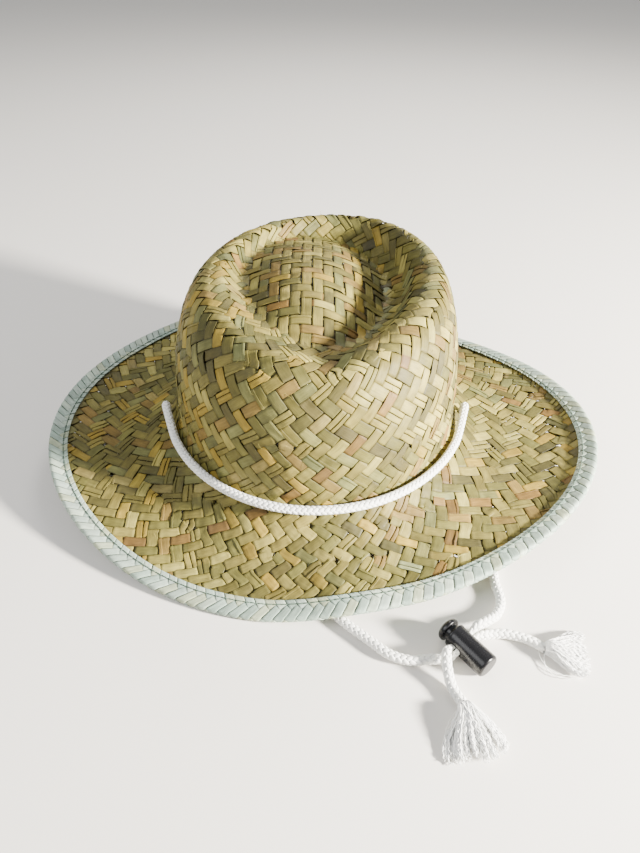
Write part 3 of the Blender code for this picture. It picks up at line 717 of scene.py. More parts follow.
def strip_path(cloth, rows, family, line):
    """A strip of the plan as time in rings, row of the grid, middle line, normals and width."""
    ring = np.array([spot[0] for spot in line], dtype=float)
    turn = np.unwrap(np.array([spot[1] for spot in line]))
    gap = np.array([spot[2] for spot in line])
    slope = LONE_SLOPE if family == "right" else -LONE_SLOPE
    if len(ring) > 1:
        slope = turn[1] - turn[0]
    ring = np.concatenate([[ring[0] - 1], ring])
    turn = np.concatenate([[turn[0] - slope], turn])
    gap = np.concatenate([[gap[0]], gap])
    first = ring[0] + (0.35 if ring[0] >= 0 else 0.5)
    steps = max(3, round((ring[-1] - first) * STEPS_PER_RING) + 1)
    time = np.linspace(first, ring[-1], steps)
    spot_turn = np.interp(time, ring, turn + noise_line(len(ring), 1, STRAY))
    row = np.interp(time, np.arange(len(rows)), rows)
    row = row + np.minimum(time, 0) * (rows[1] - rows[0])
    middle, normal = cloth.at(spot_turn, row)
    down, _ = cloth.at(spot_turn, row + 2)
    rise = np.linalg.norm(down - middle, axis=1) / 2 * np.gradient(row)
    travel = np.linalg.norm(np.gradient(middle, axis=0), axis=1)
    local = np.interp(time, ring, gap) * np.clip(rise / (travel + 1e-12), 0.3, 1.0)
    width = (0.8 * local + 0.2 * STRIP_WIDTH) * rng.uniform(0.965, 1.04)
    return time, row, middle, normal, width * (1 + noise_line(steps, 20, 0.02))


def float_shade(family, time, height):
    """Each float's own brightness, times painted shade on a face that has dived under another
    strip and along the strip's margins.
    """
    here = np.floor((time + (0.5 if family == "right" else 2.5)) / 2).astype(int)
    own = rng.normal(1, 0.12, here.max() - here.min() + 1)[here - here.min()]
    # painted shade: a face that has gone down under the crossing strip is darkened as if shaded by
    # it
    under_shade = np.clip((0.55 * LIFT - height[:, None] * FACE) / (1.1 * LIFT), 0, 1)
    return own[:, None] * (1 - 0.72 * under_shade) * MARGIN_AND_GAP_SHADE


def weave(cloth, rows, look):
    """Lays both families of strips on the hat: some are split, some have a folded edge."""
    strips = weave_plan(cloth, rows)
    share_out = len(strips["right"]) + len(strips["left"])
    soups = [Soup() for _ in range(PIECES)]
    lines = [(family, line) for family in strips for line in strips[family] if line]
    for number, (family, line) in enumerate(lines):
        time, row, middle, normal, width = strip_path(cloth, rows, family, line)
        shape = strip_shape(len(time))
        colour = leaf_colour(CROWN_WEIGHTS, len(time))[:, None, :]
        height = strip_heights(family, time, LIFT)
        height = height - SINK * np.clip((UNDER_ROWS - row) / 7, 0, 1)
        points = middle + normal * height[:, None]
        # the tint gets painted shade where the strip dives under a crossing strip and along its
        # margins
        colour = colour * float_shade(family, time, height)[..., None]
        soup = soups[number * PIECES // share_out]
        kind = rng.random()
        if kind < 0.16:
            split_strip(soup, points, normal, width, colour, shape)
            continue
        ribbon(soup, points, normal, width / 2, STRIP_HALF, colour, rng.uniform(0, 5), shape)
        if kind > 0.80:
            folded_edge(soup, points, normal, width, colour, shape)
    return [soup.build(f"plait_strips_{i + 1}", look) for i, soup in enumerate(soups)]


def loose_fibres(cloth, look):
    """Single fibres that have frayed off the leaves and stand a little proud of the weave."""
    soup = Soup()
    share = np.linspace(0, 1, 9)
    for _ in range(FIBRES):
        turn = rng.uniform(-math.pi, math.pi)
        row = rng.uniform(UNDER_ROWS, EDGE_ROW - 30)
        middle, normal = cloth.at(np.array([turn, turn + 0.01]), np.array([row, row]))
        along = unit(middle[1] - middle[0])
        heading = rng.uniform(0, 2 * math.pi)
        across = np.cross(normal[0], along)
        ahead = along * math.cos(heading) + across * math.sin(heading)
        aside = np.cross(normal[0], ahead)
        length = rng.uniform(3, 9) * MM
        rise = LIFT + rng.uniform(0.2, 1.3) * MM * share ** rng.uniform(0.7, 2)
        line = middle[0] + ahead * (length * share)[:, None] + normal[0] * rise[:, None]
        line = line + aside * (rng.normal(0, 0.3) * length * share**2)[:, None]
        rings = tube_rings(line, 0.10 * MM * (1 - 0.5 * share), 4)
        colour = LEAF_COLOURS[rng.integers(3)] * rng.uniform(1.0, 1.5)
        soup.add_rings(rings, share * length, colour)
    return soup.build("loose_fibres", look)


# ---------------------------------------------------------------- the dome's square weave


def dome_reader():
    """Returns a function that says how high the dome is at a point, and how far inward that is."""
    turn = np.linspace(-math.pi, math.pi, 1441)
    offset = crest(turn)[:, :2] - np.array(DOME_AT)
    bearing = np.unwrap(np.arctan2(offset[:, 0], -offset[:, 1]))
    reach = np.linalg.norm(offset, axis=1)

    def height(x, y):
        """The dome's height, and inward, which is 0 on the crest and 1 at the dome's centre."""
        away_x = x - DOME_AT[0]
        away_y = y - DOME_AT[1]
        angle = np.arctan2(away_x, -away_y)
        angle = bearing[0] + np.mod(angle - bearing[0], 2 * math.pi)
        at = np.interp(angle, bearing, turn)
        far = np.interp(angle, bearing, reach)
        along = 1 - np.hypot(away_x, away_y) / far
        share = groove_share(at)
        inner = GROOVE_SHARE + (1 - GROOVE_SHARE) * (along - share) / (1 - share)
        inward = np.where(along <= share, along * GROOVE_SHARE / share, inner)
        return tip_height(at, crest(at)[..., 2], np.clip(inward, 0, 1)), inward

    return height


def dome_normal(height, x, y):
    """The dome's normals, from the slopes of its height."""
    small = 0.5 * MM
    slope_x = (height(x + small, y)[0] - height(x - small, y)[0]) / (2 * small)
    slope_y = (height(x, y + small)[0] - height(x, y - small)[0]) / (2 * small)
    return unit(np.stack([-slope_x, -slope_y, np.ones_like(x)], axis=1))


def square_level(time, number):
    """1 where a strip of the square weave is on top, -1 where it is under, eased between."""
    cell = np.floor(time + 0.5).astype(int)
    part = time + 0.5 - cell
    other = cell + np.where(part > 0.5, 1, -1)
    near = eased((np.abs(part - 0.5) - 0.3) / 0.2)
    here = np.where((cell + number) % 4 < 2, 1.0, -1.0)
    there = np.where((other + number) % 4 < 2, 1.0, -1.0)
    return here * (1 - near / 2) + there * near / 2


def weave_dome(look):
    """One family of strips from side to side of the dome, and one from front to back."""
    height = dome_reader()
    soup = Soup()
    for sideways_on, reach, length in ((True, 82 * MM, 62 * MM), (False, 62 * MM, 84 * MM)):
        lines = int(reach / DOME_PITCH)
        for number in range(-lines, lines + 1):
            across = number * DOME_PITCH + rng.normal(0, 0.12 * MM)
            along = np.arange(-length, length, 0.65 * MM)
            across = across + noise_line(len(along), 12, 0.15 * MM)
            x = DOME_AT[0] + (along if sideways_on else across)
            y = DOME_AT[1] + (across if sideways_on else along)
            z, inward = height(x, y)
            keep = inward > GROOVE_SHARE - 0.045
            if keep.sum() < 8:
                continue
            x, y, z, inward, along = x[keep], y[keep], z[keep], inward[keep], along[keep]
            normal = dome_normal(height, x, y)
            level = square_level(along / DOME_PITCH, number)
            level = level * (DOME_LIFT if sideways_on else -DOME_LIFT)
            # painted shade: a face that goes under the crossing strip is darkened as if shaded by
            # it, and the margins too
            under_shade = np.clip((0.5 * DOME_LIFT - level[:, None] * FACE) / (1.2 * DOME_LIFT), 0, 1)
            shade = (1 - 0.7 * under_shade) * MARGIN_AND_GAP_SHADE
            level = level - SINK * np.clip((GROOVE_SHARE - 0.004 - inward) / 0.04, 0, 1)
            points = np.stack([x, y, z], axis=1) + normal * level[:, None]
            width = np.full(len(points), DOME_PITCH * rng.uniform(0.9, 0.985))
            colour = leaf_colour(DOME_WEIGHTS, len(points))[:, None, :] * shade[..., None]
            shape = strip_shape(len(points))
            ribbon(soup, points, normal, width / 2, STRIP_HALF, colour, rng.uniform(0, 5), shape)
            if rng.random() < 0.2:
                folded_edge(soup, points, normal, width, colour, shape)
    return soup.build("dome_strips", look)


# ---------------------------------------------------------------- materials


class Look:
    """A material under construction around one principled shader."""

    def __init__(self, name):
        self.made = bpy.data.materials.new(name)
        self.made.use_nodes = True
        self.tree = self.made.node_tree
        self.shader = self.tree.nodes["Principled BSDF"]

    def fill(self, node, inputs):
        """Sets each input of a node to a value, or links it to another node's output."""
        for key, value in inputs.items():
            if isinstance(value, bpy.types.NodeSocket):
                self.tree.links.new(value, node.inputs[key])
            else:
                node.inputs[key].default_value = value

    def add(self, kind, inputs, out, **settings):
        """Adds a node and returns the output of it that is wanted."""
        node = self.tree.nodes.new("ShaderNode" + kind)
        for key, value in settings.items():
            setattr(node, key, value)
        self.fill(node, inputs)
        return node.outputs[out]

    def tint(self):
        """The colour that each strip or strand was given."""
        return self.add("VertexColor", {}, "Color", layer_name="tint")

    def grain(self, scale, detail):
        """Fine noise fixed to the object."""
        place = self.add("TexCoord", {}, "Object")
        return self.add("TexNoise", {"Vector": place, "Scale": scale, "Detail": detail}, "Fac")

    def streaks(self, stretch, scale, detail, rough):
        """Noise drawn out along each strip."""
        place = self.add("UVMap", {}, "UV", uv_map="strip")
        long = self.add("VectorMath", {0: place, 1: stretch}, "Vector", operation="MULTIPLY")
        settings = {"Vector": long, "Scale": scale, "Detail": detail, "Roughness": rough}
        return self.add("TexNoise", settings, "Fac", noise_dimensions="2D")

    def tone(self, noise, darkest, lightest, low=0.0, high=1.0):
        """Turns a noise between low and high into a factor between darkest and lightest."""
        limits = {"From Min": low, "From Max": high, "To Min": darkest, "To Max": lightest}
        return self.add("MapRange", {"Value": noise, **limits}, "Result")

    def paint(self, colour, factor):
        """The base colour is a colour times a factor."""
        inputs = {0: colour, "Scale": factor}
        painted = self.add("VectorMath", inputs, "Vector", operation="SCALE")
        self.fill(self.shader, {"Base Color": painted})

    def bump(self, noise, strength, distance):
        """Lets a noise raise the surface a little."""
        inputs = {"Height": noise, "Strength": strength, "Distance": distance}
        self.fill(self.shader, {"Normal": self.add("Bump", inputs, "Normal")})


def leaf_material(name, gloss=0.56, streaks=1.0):
    """Dry leaf: its tint, fibres and paler and darker patches along it, a satin sheen."""
    look = Look(name)
    fibres = look.streaks((9.0, 70.0, 1.0), 1.6, 3.0, 0.6)
    patches = look.streaks((2.2, 130.0, 1.0), 1.0, 2.0, 0.5)
    light = look.tone(fibres, 1 - 0.22 * streaks, 1 + 0.20 * streaks, 0.25, 0.75)
    patchy = look.tone(patches, 0.85, 1.13, 0.3, 0.7)
    both = look.add("Math", {0: light, 1: patchy}, "Value", operation="MULTIPLY")
    look.paint(look.tint(), both)
    look.bump(fibres, 0.35, 0.0003)
    look.fill(look.shader, {"Roughness": gloss, "Specular IOR Level": 0.20})
    return look.made


def cotton_material(name, colour, rough=0.85):
    """Cotton: one dye over the tint of each strand, finely speckled, with a soft sheen."""
    look = Look(name)
    grain = look.grain(2600.0, 2.0)
    inputs = {0: look.tint(), 1: colour}
    dyed = look.add("VectorMath", inputs, "Vector", operation="MULTIPLY")
    look.paint(dyed, look.tone(grain, 0.88, 1.06))
    look.bump(grain, 0.3, 0.0002)
    look.fill(look.shader, {"Roughness": rough, "Sheen Weight": 0.2})
    return look.made


def plain_material(name, colour, rough, metallic=0.0):
    """Moulded plastic or wire, with a little wear in its gloss."""
    look = Look(name)
    grain = look.grain(900.0, 3.0)
    look.paint(colour, look.tone(grain, 0.85, 1.15))
    gloss = look.tone(grain, rough * 0.8, rough * 1.25)
    inputs = {"Roughness": gloss, "Metallic": metallic, "Specular IOR Level": 0.30}
    look.fill(look.shader, inputs)
    return look.made


# ---------------------------------------------------------------- binding


def tape_face(cloth, step, side):
    """Rows on one face of the brim, from the tape's inner edge out to the brim's edge."""
    rows = []
    for inset in np.linspace(BINDING_REACH, 0.6 * MM, 24):
        middle, normal = cloth.at(COLUMN_TURNS, EDGE_ROW - inset / step)
        rows.append(middle + normal * side * BINDING_SKIN)
    return rows


def binding_cloth(cloth):
    """The tape's middle surface, from its top inner edge around the brim's edge to below."""
    step = np.linalg.norm(cloth.grid[-1] - cloth.grid[-3], axis=1) / 2
    middle, normal = cloth.at(COLUMN_TURNS, EDGE_ROW)
    inner, _ = cloth.at(COLUMN_TURNS, EDGE_ROW - 1.0 * MM / step)
    out = unit(middle - inner)
    rim = []
    for angle in np.radians(np.linspace(78, -78, 13)):
        lift = normal * BINDING_SKIN * math.sin(angle)
        rim.append(middle + out * 0.9 * MM * math.cos(angle) + lift)
    grid = even_rows(tape_face(cloth, step, 1) + rim + tape_face(cloth, step, -1)[::-1], 97)
    grid[..., 2] = np.maximum(grid[..., 2], 0.55 * MM)
    return Cloth(grid)


def tape_strip(soup, tape, turn, row, height, half_width, tint, start):
    """A strip that follows the tape around the edge and stops at the tape's own edges."""
    around = tape.arc(tape.rows // 2)[-1] / (2 * math.pi)
    down = BINDING_TAPE / (tape.rows - 1)
    move_around = np.gradient(turn) * around
    move_down = np.gradient(row) * down
    length = np.hypot(move_around, move_down)
    x = ACROSS[None, :] * half_width
    turns = turn[:, None] - (move_down / length)[:, None] * x / around
    rows = row[:, None] + (move_around / length)[:, None] * x / down
    middle, normal = tape.at(turns, np.clip(rows, 0, tape.rows - 1))
    bend = -0.03 * MM * ACROSS**2 + FACE * 0.13 * MM
    rings = middle + normal * (height[:, None] + bend)[..., None]
    run = np.concatenate([[0], np.cumsum(length[1:])]) + start
    soup.add_rings(rings, run, tint, ACROSS * 0.5 + 0.5)


def weave_binding(cloth, look):
    """Two over and two under again; each face shows a wide row and a narrow one inside it."""
    tape = binding_cloth(cloth)
    arc = tape.arc(tape.rows // 2)
    count = round(arc[-1] / BINDING_PITCH)
    ring_step = BINDING_TAPE / 6
    soups = [Soup(), Soup()]
    steps = 37
    time = np.linspace(*BINDING_TIME, steps)
    row = (time - 0.5) * ring_step / BINDING_TAPE * (tape.rows - 1)
    half_width = BINDING_PITCH * math.sin(math.atan2(ring_step, BINDING_PITCH / 2)) / 2
    for family, sign in (("right", 1), ("left", -1)):
        for number in range(count):
            colour = BINDING_COLOURS[rng.integers(len(BINDING_COLOURS))]
            wander = rng.normal(0, 0.018) + noise_line(steps, 12, 0.012)
            turn = turn_at((number + wander + sign * 0.5 * time) / count * arc[-1], arc)
            height = strip_heights(family, time, 0.24 * MM, 0.26)
            shade = 1 + noise_line(steps, 8, 0.05)
            # painted shade where a strip goes down under the crossing strip
            shade = shade * (1 - 0.6 * np.clip((0.12 * MM - height) / (0.3 * MM), 0, 1))
            tint = (colour * rng.uniform(0.84, 1.10)) * shade[:, None, None]
            half = half_width * rng.uniform(0.90, 0.96)
            soup = soups[0 if number < count // 2 else 1]
            tape_strip(soup, tape, turn, row, height, half, tint, rng.uniform(0, 5))
    return [soup.build(f"binding_strips_{i + 1}", look) for i, soup in enumerate(soups)], tape


def stitch_line(tape, row, name, look):
    """A sewn line: long stitches on the surface that dip in at each hole."""
    arc = tape.arc(row)
    points = round(arc[-1] / STITCH) * STITCH_POINTS
    turn = turn_at(np.arange(points) / points * arc[-1], arc)
    middle, normal = tape.at(turn, row)
    phase = np.mod(np.arange(points) / STITCH_POINTS, 1.0)
    height = 0.62 * MM - 0.95 * MM * np.exp(-((np.minimum(phase, 1 - phase) / 0.09) ** 2))
    return thread_ring(middle + normal * height[:, None], 0.30 * MM, name, look)


# ---------------------------------------------------------------- tubes and the braid


def frames(points):
    """Tangents and two steady side directions along a line of points."""
    tangent = unit(np.gradient(points, axis=0))
    side = np.empty_like(points)
    start = np.array([0.0, 0.0, 1.0])
    if abs(tangent[0] @ start) > 0.9:
        start = np.array([0.0, 1.0, 0.0])
    side[0] = unit(np.cross(tangent[0], start))
    for here in range(1, len(points)):
        moved = side[here - 1] - tangent[here] * (side[here - 1] @ tangent[here])
        side[here] = moved / np.linalg.norm(moved)
    return tangent, side, np.cross(tangent, side)


def tube_rings(points, radius, sides):
    """Rings of points around a line. The radius may change along it."""
    _, side, other = frames(points)
    radius = np.broadcast_to(radius, len(points))
    steps = (np.arange(sides) * 2 * math.pi / sides)[None, :, None]
    around = side[:, None, :] * np.cos(steps) + other[:, None, :] * np.sin(steps)
    return points[:, None, :] + around * radius[:, None, None]


def tube_mesh(points, radius, name, look, sides=8):
    """One tube along a line of points."""
    soup = Soup()
    soup.add_rings(tube_rings(points, radius, sides), run_along(points), np.ones(3))
    return soup.build(name, look)


def thread_ring(points, radius, name, look):
    """A thread that goes all the way around the hat."""
    return tube_mesh(np.concatenate([points, points[:1]]), radius, name, look, 6)


def smooth_route(route):
    """Even points on a smooth curve that passes through every point of a route."""
    ends = [2 * route[0] - route[1], *route, 2 * route[-1] - route[-2]]
    dense = []
    for here in range(1, len(ends) - 2):
        before, start, end, after = ends[here - 1 : here + 3]
        for part in np.arange(24) / 24:
            bend = 2 * start + (end - before) * part
            bend = bend + (2 * before - 5 * start + 4 * end - after) * part**2
            bend = bend + (3 * start - before - 3 * end + after) * part**3
            dense.append(bend / 2)
    dense.append(route[-1])
    dense = np.array(dense)
    run = run_along(dense)
    wanted = np.linspace(0, run[-1], max(4, round(run[-1] / CORD_STEP) + 1))
    return np.stack([np.interp(wanted, run, dense[:, axis]) for axis in range(3)], axis=1)


def braid(line, radius, name, look):
    """A round braid: half the strands wind each way, two over and two under."""
    _, side, other = frames(line)
    run = run_along(line)
    scale = np.broadcast_to(radius, len(line)) / CORD_RADIUS
    mean = (CORD_RADIUS - STRAND_HALF_THICKNESS - BRAID_RELIEF) * scale
    tone = np.array([0.97, 0.97, 0.95])
    soup = Soup()
    # painted shade: the core is tinted at under half the strands' tone, so the gaps between
    # strands look shaded
    soup.add_rings(tube_rings(line, mean * 0.9, 10), run, tone * 0.45)
    turns = run / BRAID_PITCH
    for way in (1, -1):
        for number in range(BRAID_HALF):
            angle = way * 2 * math.pi * turns + 2 * math.pi * number / BRAID_HALF
            beat = 2 * number + way * 2 * BRAID_HALF * turns - (0.5 if way > 0 else 2.5)
            wave = np.tanh(1.7 * np.cos(2 * math.pi * beat / 4)) / math.tanh(1.7)
            out = mean + BRAID_RELIEF * scale * wave
            centre = line + side * (np.cos(angle) * out)[:, None]
            centre = centre + other * (np.sin(angle) * out)[:, None]
            wide = STRAND_HALF_WIDTH * scale * (1 + 0.10 * wave)
            rings = flat_strand(centre, line, wide, STRAND_HALF_THICKNESS * scale)
            # painted shade: each strand is darker where it dives under the crossing strands
            shade = tone * rng.uniform(0.93, 1.04) * (0.86 + 0.14 * wave)[:, None, None]
            soup.add_rings(rings, run, shade)
    return soup.build(name, look)


def flat_strand(centre, line, wide, thick):
    """An oval strand that lies on the cord's core, broad side outwards."""
    tangent = unit(np.gradient(centre, axis=0))
    out = centre - line
    out = unit(out - tangent * np.sum(out * tangent, axis=1, keepdims=True))
    side = np.cross(tangent, out)
    steps = np.arange(6) * math.pi / 3
    return (
        centre[:, None, :]
        + side[:, None, :] * (np.cos(steps) * wide[:, None])[..., None]
        + out[:, None, :] * (np.sin(steps) * thick[:, None])[..., None]
    )


# ---------------------------------------------------------------- tassels


def tassel(name, route, tip, half_width, loops, look):
    """Unravelled threads: crimped, fanned out and gathered into loose clumps."""
    root = np.array(route[-1]) * MM
    leave = root - np.array(route[-2]) * MM
    leave = unit(leave * [1, 1, 0])
    reach = np.linalg.norm((tip - root)[:2])
    ahead = unit(tip - root)
    side = unit(np.array([-ahead[1], ahead[0], 0.0]))
    clumps = np.linspace(-0.95, 0.95, 8) + rng.normal(0, 0.05, 8)
    clump_reach = rng.uniform(0.92, 1.05, 8)
    clump_lift = rng.uniform(0.0, 2.6, 8) * MM
    share = np.linspace(0, 1, 26)
    opening = np.sin(0.5 * math.pi * np.minimum(share * 1.05, 1)) ** 1.1
    bow = leave * (reach * 0.30 * share * (1 - share) ** 2)[:, None]
    thick = 4.6 * MM * (1 - 0.25 * share) + 3.2 * MM * np.sin(math.pi * np.sqrt(share))
    soup = Soup()
    for _ in range(TASSEL_THREADS):
        where = rng.uniform(-1, 1)
        chosen = int(np.argmin(np.abs(clumps - where)))
        end = 0.55 * where + 0.45 * clumps[chosen] + rng.normal(0, 0.05)
        long = reach * (1 - 0.07 * end**2) * clump_reach[chosen] * rng.uniform(0.86, 1.02)
        layer = rng.random()
        begin = rng.uniform(-0.85, 0.85)
        spread = begin * CORD_RADIUS * (1 - opening) + end * half_width * opening
        line = root + bow + ahead * (long * share)[:, None] + side * spread[:, None]
        edge = np.sqrt(np.clip(1 - end**2, 0.05, 1)) * opening + (1 - opening)
        line[:, 2] = 0.5 * MM + layer * thick * edge + clump_lift[chosen] * share**2
        bend = np.sin(share * rng.uniform(34, 50) + rng.uniform(0, 6)) * np.sqrt(share)
        other = np.sin(share * rng.uniform(30, 46) + rng.uniform(0, 6)) * np.sqrt(share)
        line = line + side * (0.38 * MM * bend)[:, None]
        line[:, 2] = np.maximum(line[:, 2] + 0.32 * MM * other, 0.3 * MM)
        thread = rng.uniform(0.20, 0.36) * MM
        rings = tube_rings(line, thread * (1 - 0.4 * share**4), 5)
        shade = np.array([1.02, 1.02, 1.0]) * rng.uniform(0.94, 1.02)
        soup.add_rings(rings, share, shade)
    for loop in loops:
        begin, bulge, end = (np.array(spot) * MM for spot in loop)
        part = np.linspace(0, 1, 40)[:, None]
        line = (1 - part) ** 2 * begin + 2 * part * (1 - part) * bulge + part**2 * end
        line = line + side * (0.22 * MM * np.sin(part * 44))
        soup.add_rings(tube_rings(line, 0.2 * MM, 5), part[:, 0], np.array([1.0, 1.0, 0.96]))
    return soup.build(name, look)


# ---------------------------------------------------------------- cord lock


def rounded(profile, fillet):
    """The profile with each inner corner replaced by a short curve."""
    profile = [np.array(spot, dtype=float) for spot in profile]
    out = [profile[0]]
    for before, corner, after in zip(profile, profile[1:], profile[2:], strict=False):
        reach_in = np.linalg.norm(before - corner)
        reach_out = np.linalg.norm(after - corner)
        cut = min(fillet, 0.45 * reach_in, 0.45 * reach_out)
        start = corner + (before - corner) / reach_in * cut
        end = corner + (after - corner) / reach_out * cut
        for part in np.linspace(0, 1, 6):
            out.append((1 - part) ** 2 * start + 2 * part * (1 - part) * corner + part**2 * end)
    out.append(profile[-1])
    return out


def finish_mesh(soup, name):
    """Turns a bmesh into a mesh whose faces all look outwards."""
    bmesh.ops.recalc_face_normals(soup, faces=soup.faces)
    mesh = bpy.data.meshes.new(name)
    soup.to_mesh(mesh)
    soup.free()
    return mesh


def lathe(name, profile, look, sides=96):
    """Turns a profile of (distance along +X, radius) points; its ends lie on the axis."""
    soup = bmesh.new()
    rings = []
    for along, radius in profile:
        if radius < 1e-6:
            rings.append([soup.verts.new((along, 0, 0))])
            continue
        angles = [2 * math.pi * step / sides for step in range(sides)]
        ring = [(along, radius * math.cos(a), radius * math.sin(a)) for a in angles]
        rings.append([soup.verts.new(spot) for spot in ring])
    for first, second in zip(rings, rings[1:], strict=False):
        for here in range(sides):
            after = (here + 1) % sides
            if len(first) == 1:
                soup.faces.new((first[0], second[here], second[after]))
            elif len(second) == 1:
                soup.faces.new((first[here], first[after], second[0]))
            else:
                soup.faces.new((first[here], first[after], second[after], second[here]))
    mesh = finish_mesh(soup, name)
    mesh.materials.append(look)
    return put(name, mesh)


def slot_cutter(start, end):
    """A long prism with the slot's round-ended outline."""
    soup = bmesh.new()
    outline = []
    for middle, first in ((end - SLOT_HALF, -math.pi / 2), (start + SLOT_HALF, math.pi / 2)):
        for step in range(33):
            angle = first + math.pi * step / 32
            outline.append((middle + SLOT_HALF * math.cos(angle), SLOT_HALF * math.sin(angle)))
    near, far = ([soup.verts.new((x, y, z)) for x, z in outline] for y in (-12 * MM, 12 * MM))
    for here in range(len(near)):
        after = (here + 1) % len(near)
        soup.faces.new((near[here], near[after], far[after], far[here]))
    soup.faces.new(near)
    soup.faces.new(far)
    return put("slot_cutter", finish_mesh(soup, "slot_cutter"))


def cut_slot(solid, start, end):
    """Cuts the cords' slot across a lathe piece, and rounds every sharp edge."""
    cutter = slot_cutter(start, end)
    punch = solid.modifiers.new("slot", "BOOLEAN")
    punch.object = cutter
    punch.operation = "DIFFERENCE"
    punch.solver = "EXACT"
    ease = solid.modifiers.new("ease", "BEVEL")
    ease.width = 0.22 * MM
    ease.segments = 3
    ease.limit_method = "ANGLE"
    ease.angle_limit = math.radians(50)
    bpy.context.view_layer.update()
    depsgraph = bpy.context.evaluated_depsgraph_get()
    finished = bpy.data.meshes.new_from_object(solid.evaluated_get(depsgraph))
    solid.modifiers.clear()
    solid.data = finished
    bpy.data.objects.remove(cutter)
    finished.shade_smooth()
    finished.set_sharp_from_angle(angle=math.radians(42))


def build_barrel(look):
    """The lock's barrel: open towards the plunger, with a rim, a bore and the slot."""
    profile = [
        (BORE_DEPTH, 0),
        (BORE_DEPTH, BORE_RADIUS),
        (0.4 * MM, BORE_RADIUS),
        (0, BORE_RADIUS + 0.4 * MM),
        (0, BARREL_RADIUS - 0.1 * MM),
        (0.9 * MM, BARREL_RADIUS + 0.25 * MM),
        (1.9 * MM, BARREL_RADIUS),
        (BARREL_LENGTH - 0.9 * MM, BARREL_RADIUS),
        (BARREL_LENGTH, BARREL_RADIUS - 0.9 * MM),
        (BARREL_LENGTH, 0),
    ]
    barrel = lathe("barrel_shell", rounded(profile, 0.7 * MM), look)
    cut_slot(barrel, SLOT_START, SLOT_END)
    return barrel


def build_plunger(look):
    """The plunger: a domed head on a stem that has the slot too."""
    back = -HEAD_GAP - HEAD_THICKNESS
    profile = [(back, 0)]
    for angle in np.radians(np.arange(10, 91, 10)):
        profile.append((back + 3.1 * MM * (1 - math.cos(angle)), BARREL_RADIUS * math.sin(angle)))
    profile += [
        (-HEAD_GAP - 0.3 * MM, BARREL_RADIUS),
        (-HEAD_GAP, BARREL_RADIUS - 0.4 * MM),
        (-HEAD_GAP, PLUNGER_RADIUS),
        (PLUNGER_REACH - 0.5 * MM, PLUNGER_RADIUS),
        (PLUNGER_REACH, PLUNGER_RADIUS - 0.5 * MM),
        (PLUNGER_REACH, 0),
    ]
    plunger = lathe("plunger_button", rounded(profile, 0.35 * MM), look)
    cut_slot(plunger, SLOT_START - HEAD_GAP, SLOT_END)
    return plunger


def build_spring(start, end):
    """The coil between the plunger's stem and the bottom of the bore."""
    share = np.linspace(0, 1, SPRING_TURNS * 40 + 1)
    angle = 2 * math.pi * SPRING_TURNS * share
    across = [SPRING_RADIUS * np.cos(angle), SPRING_RADIUS * np.sin(angle)]
    coil = np.stack([start + (end - start) * share, *across], axis=1)
    steel = plain_material("spring_wire", (0.56, 0.57, 0.58), 0.28, metallic=1.0)
    return tube_mesh(coil, SPRING_WIRE, "spring_coil", steel)


def lock_axis():
    """The direction in which the plunger is pressed."""
    return np.array([math.cos(LOCK_TURN), math.sin(LOCK_TURN), 0.0])


def build_lock():
    """Barrel, plunger and spring, made along +X and then laid where the lock lies."""
    black = plain_material("lock_plastic", (0.006, 0.006, 0.007), 0.26)
    barrel = build_barrel(black)
    plunger = build_plunger(black)
    start = PLUNGER_REACH + SPRING_WIRE + 0.3 * MM
    end = BORE_DEPTH - SPRING_WIRE - 0.3 * MM
    spring = build_spring(start, end)
    here = Matrix.Translation(Vector(LOCK_AT + CROWN_AT)) @ Matrix.Rotation(LOCK_TURN, 4, "Z")
    for piece, body, node, slot in (
        (barrel, "chin_loop", "lock_barrel", "lock_black"),
        (plunger, "plunger", "lock_plunger", "lock_black"),
        (spring, "chin_loop", "lock_spring", "spring_steel"),
    ):
        piece.matrix_world = here
        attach(piece, body)
        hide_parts(node)
    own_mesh(spring)
    return barrel, plunger, spring


# ---------------------------------------------------------------- assembling


def place(piece, body, slot, *nodes):
    """Moves a piece from the crown's own axes into the frame, onto its body, and hides the CAD
    parts that it stands for.
    """
    piece.location = Vector(CROWN_AT)
    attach(piece, body)
    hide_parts(*nodes)


def build_plait():
    """Crown, brim and dome. Returns the surface that the rest is built on."""
    cloth = hat_cloth()
    crown_rows = np.linspace(6, FOOT_ROW, CROWN_RINGS + 1)
    rows = np.append(crown_rows, np.linspace(FOOT_ROW, EDGE_ROW - 3, BRIM_RINGS + 1)[1:])
    leaf = leaf_material("seagrass_leaf")
    for piece in weave(cloth, rows, leaf):
        place(piece, "hat", "crown_seagrass", "crown_side_plait", "brim_plait")
    place(weave_dome(leaf), "hat", "tip_seagrass", "crown_tip_plait")
    place(loose_fibres(cloth, leaf), "hat", "crown_seagrass", "crown_side_plait", "brim_plait")
    return cloth


def build_binding(cloth):
    """The tape folded over the brim's edge, and its line of stitches above and below."""
    leaf = leaf_material("binding_leaf_strips", 0.42, 0.55)
    strips, tape = weave_binding(cloth, leaf)
    for piece in strips:
        place(piece, "hat", "binding_leaf", "brim_binding")
    thread = cotton_material("green_thread", (0.045, 0.085, 0.055), 0.7)
    for side, row in (("top", 10), ("under", 91)):
        stitches = stitch_line(tape, row, side + "_stitches", thread)
        place(stitches, "hat", "dark_thread", f"binding_{side}_thread")


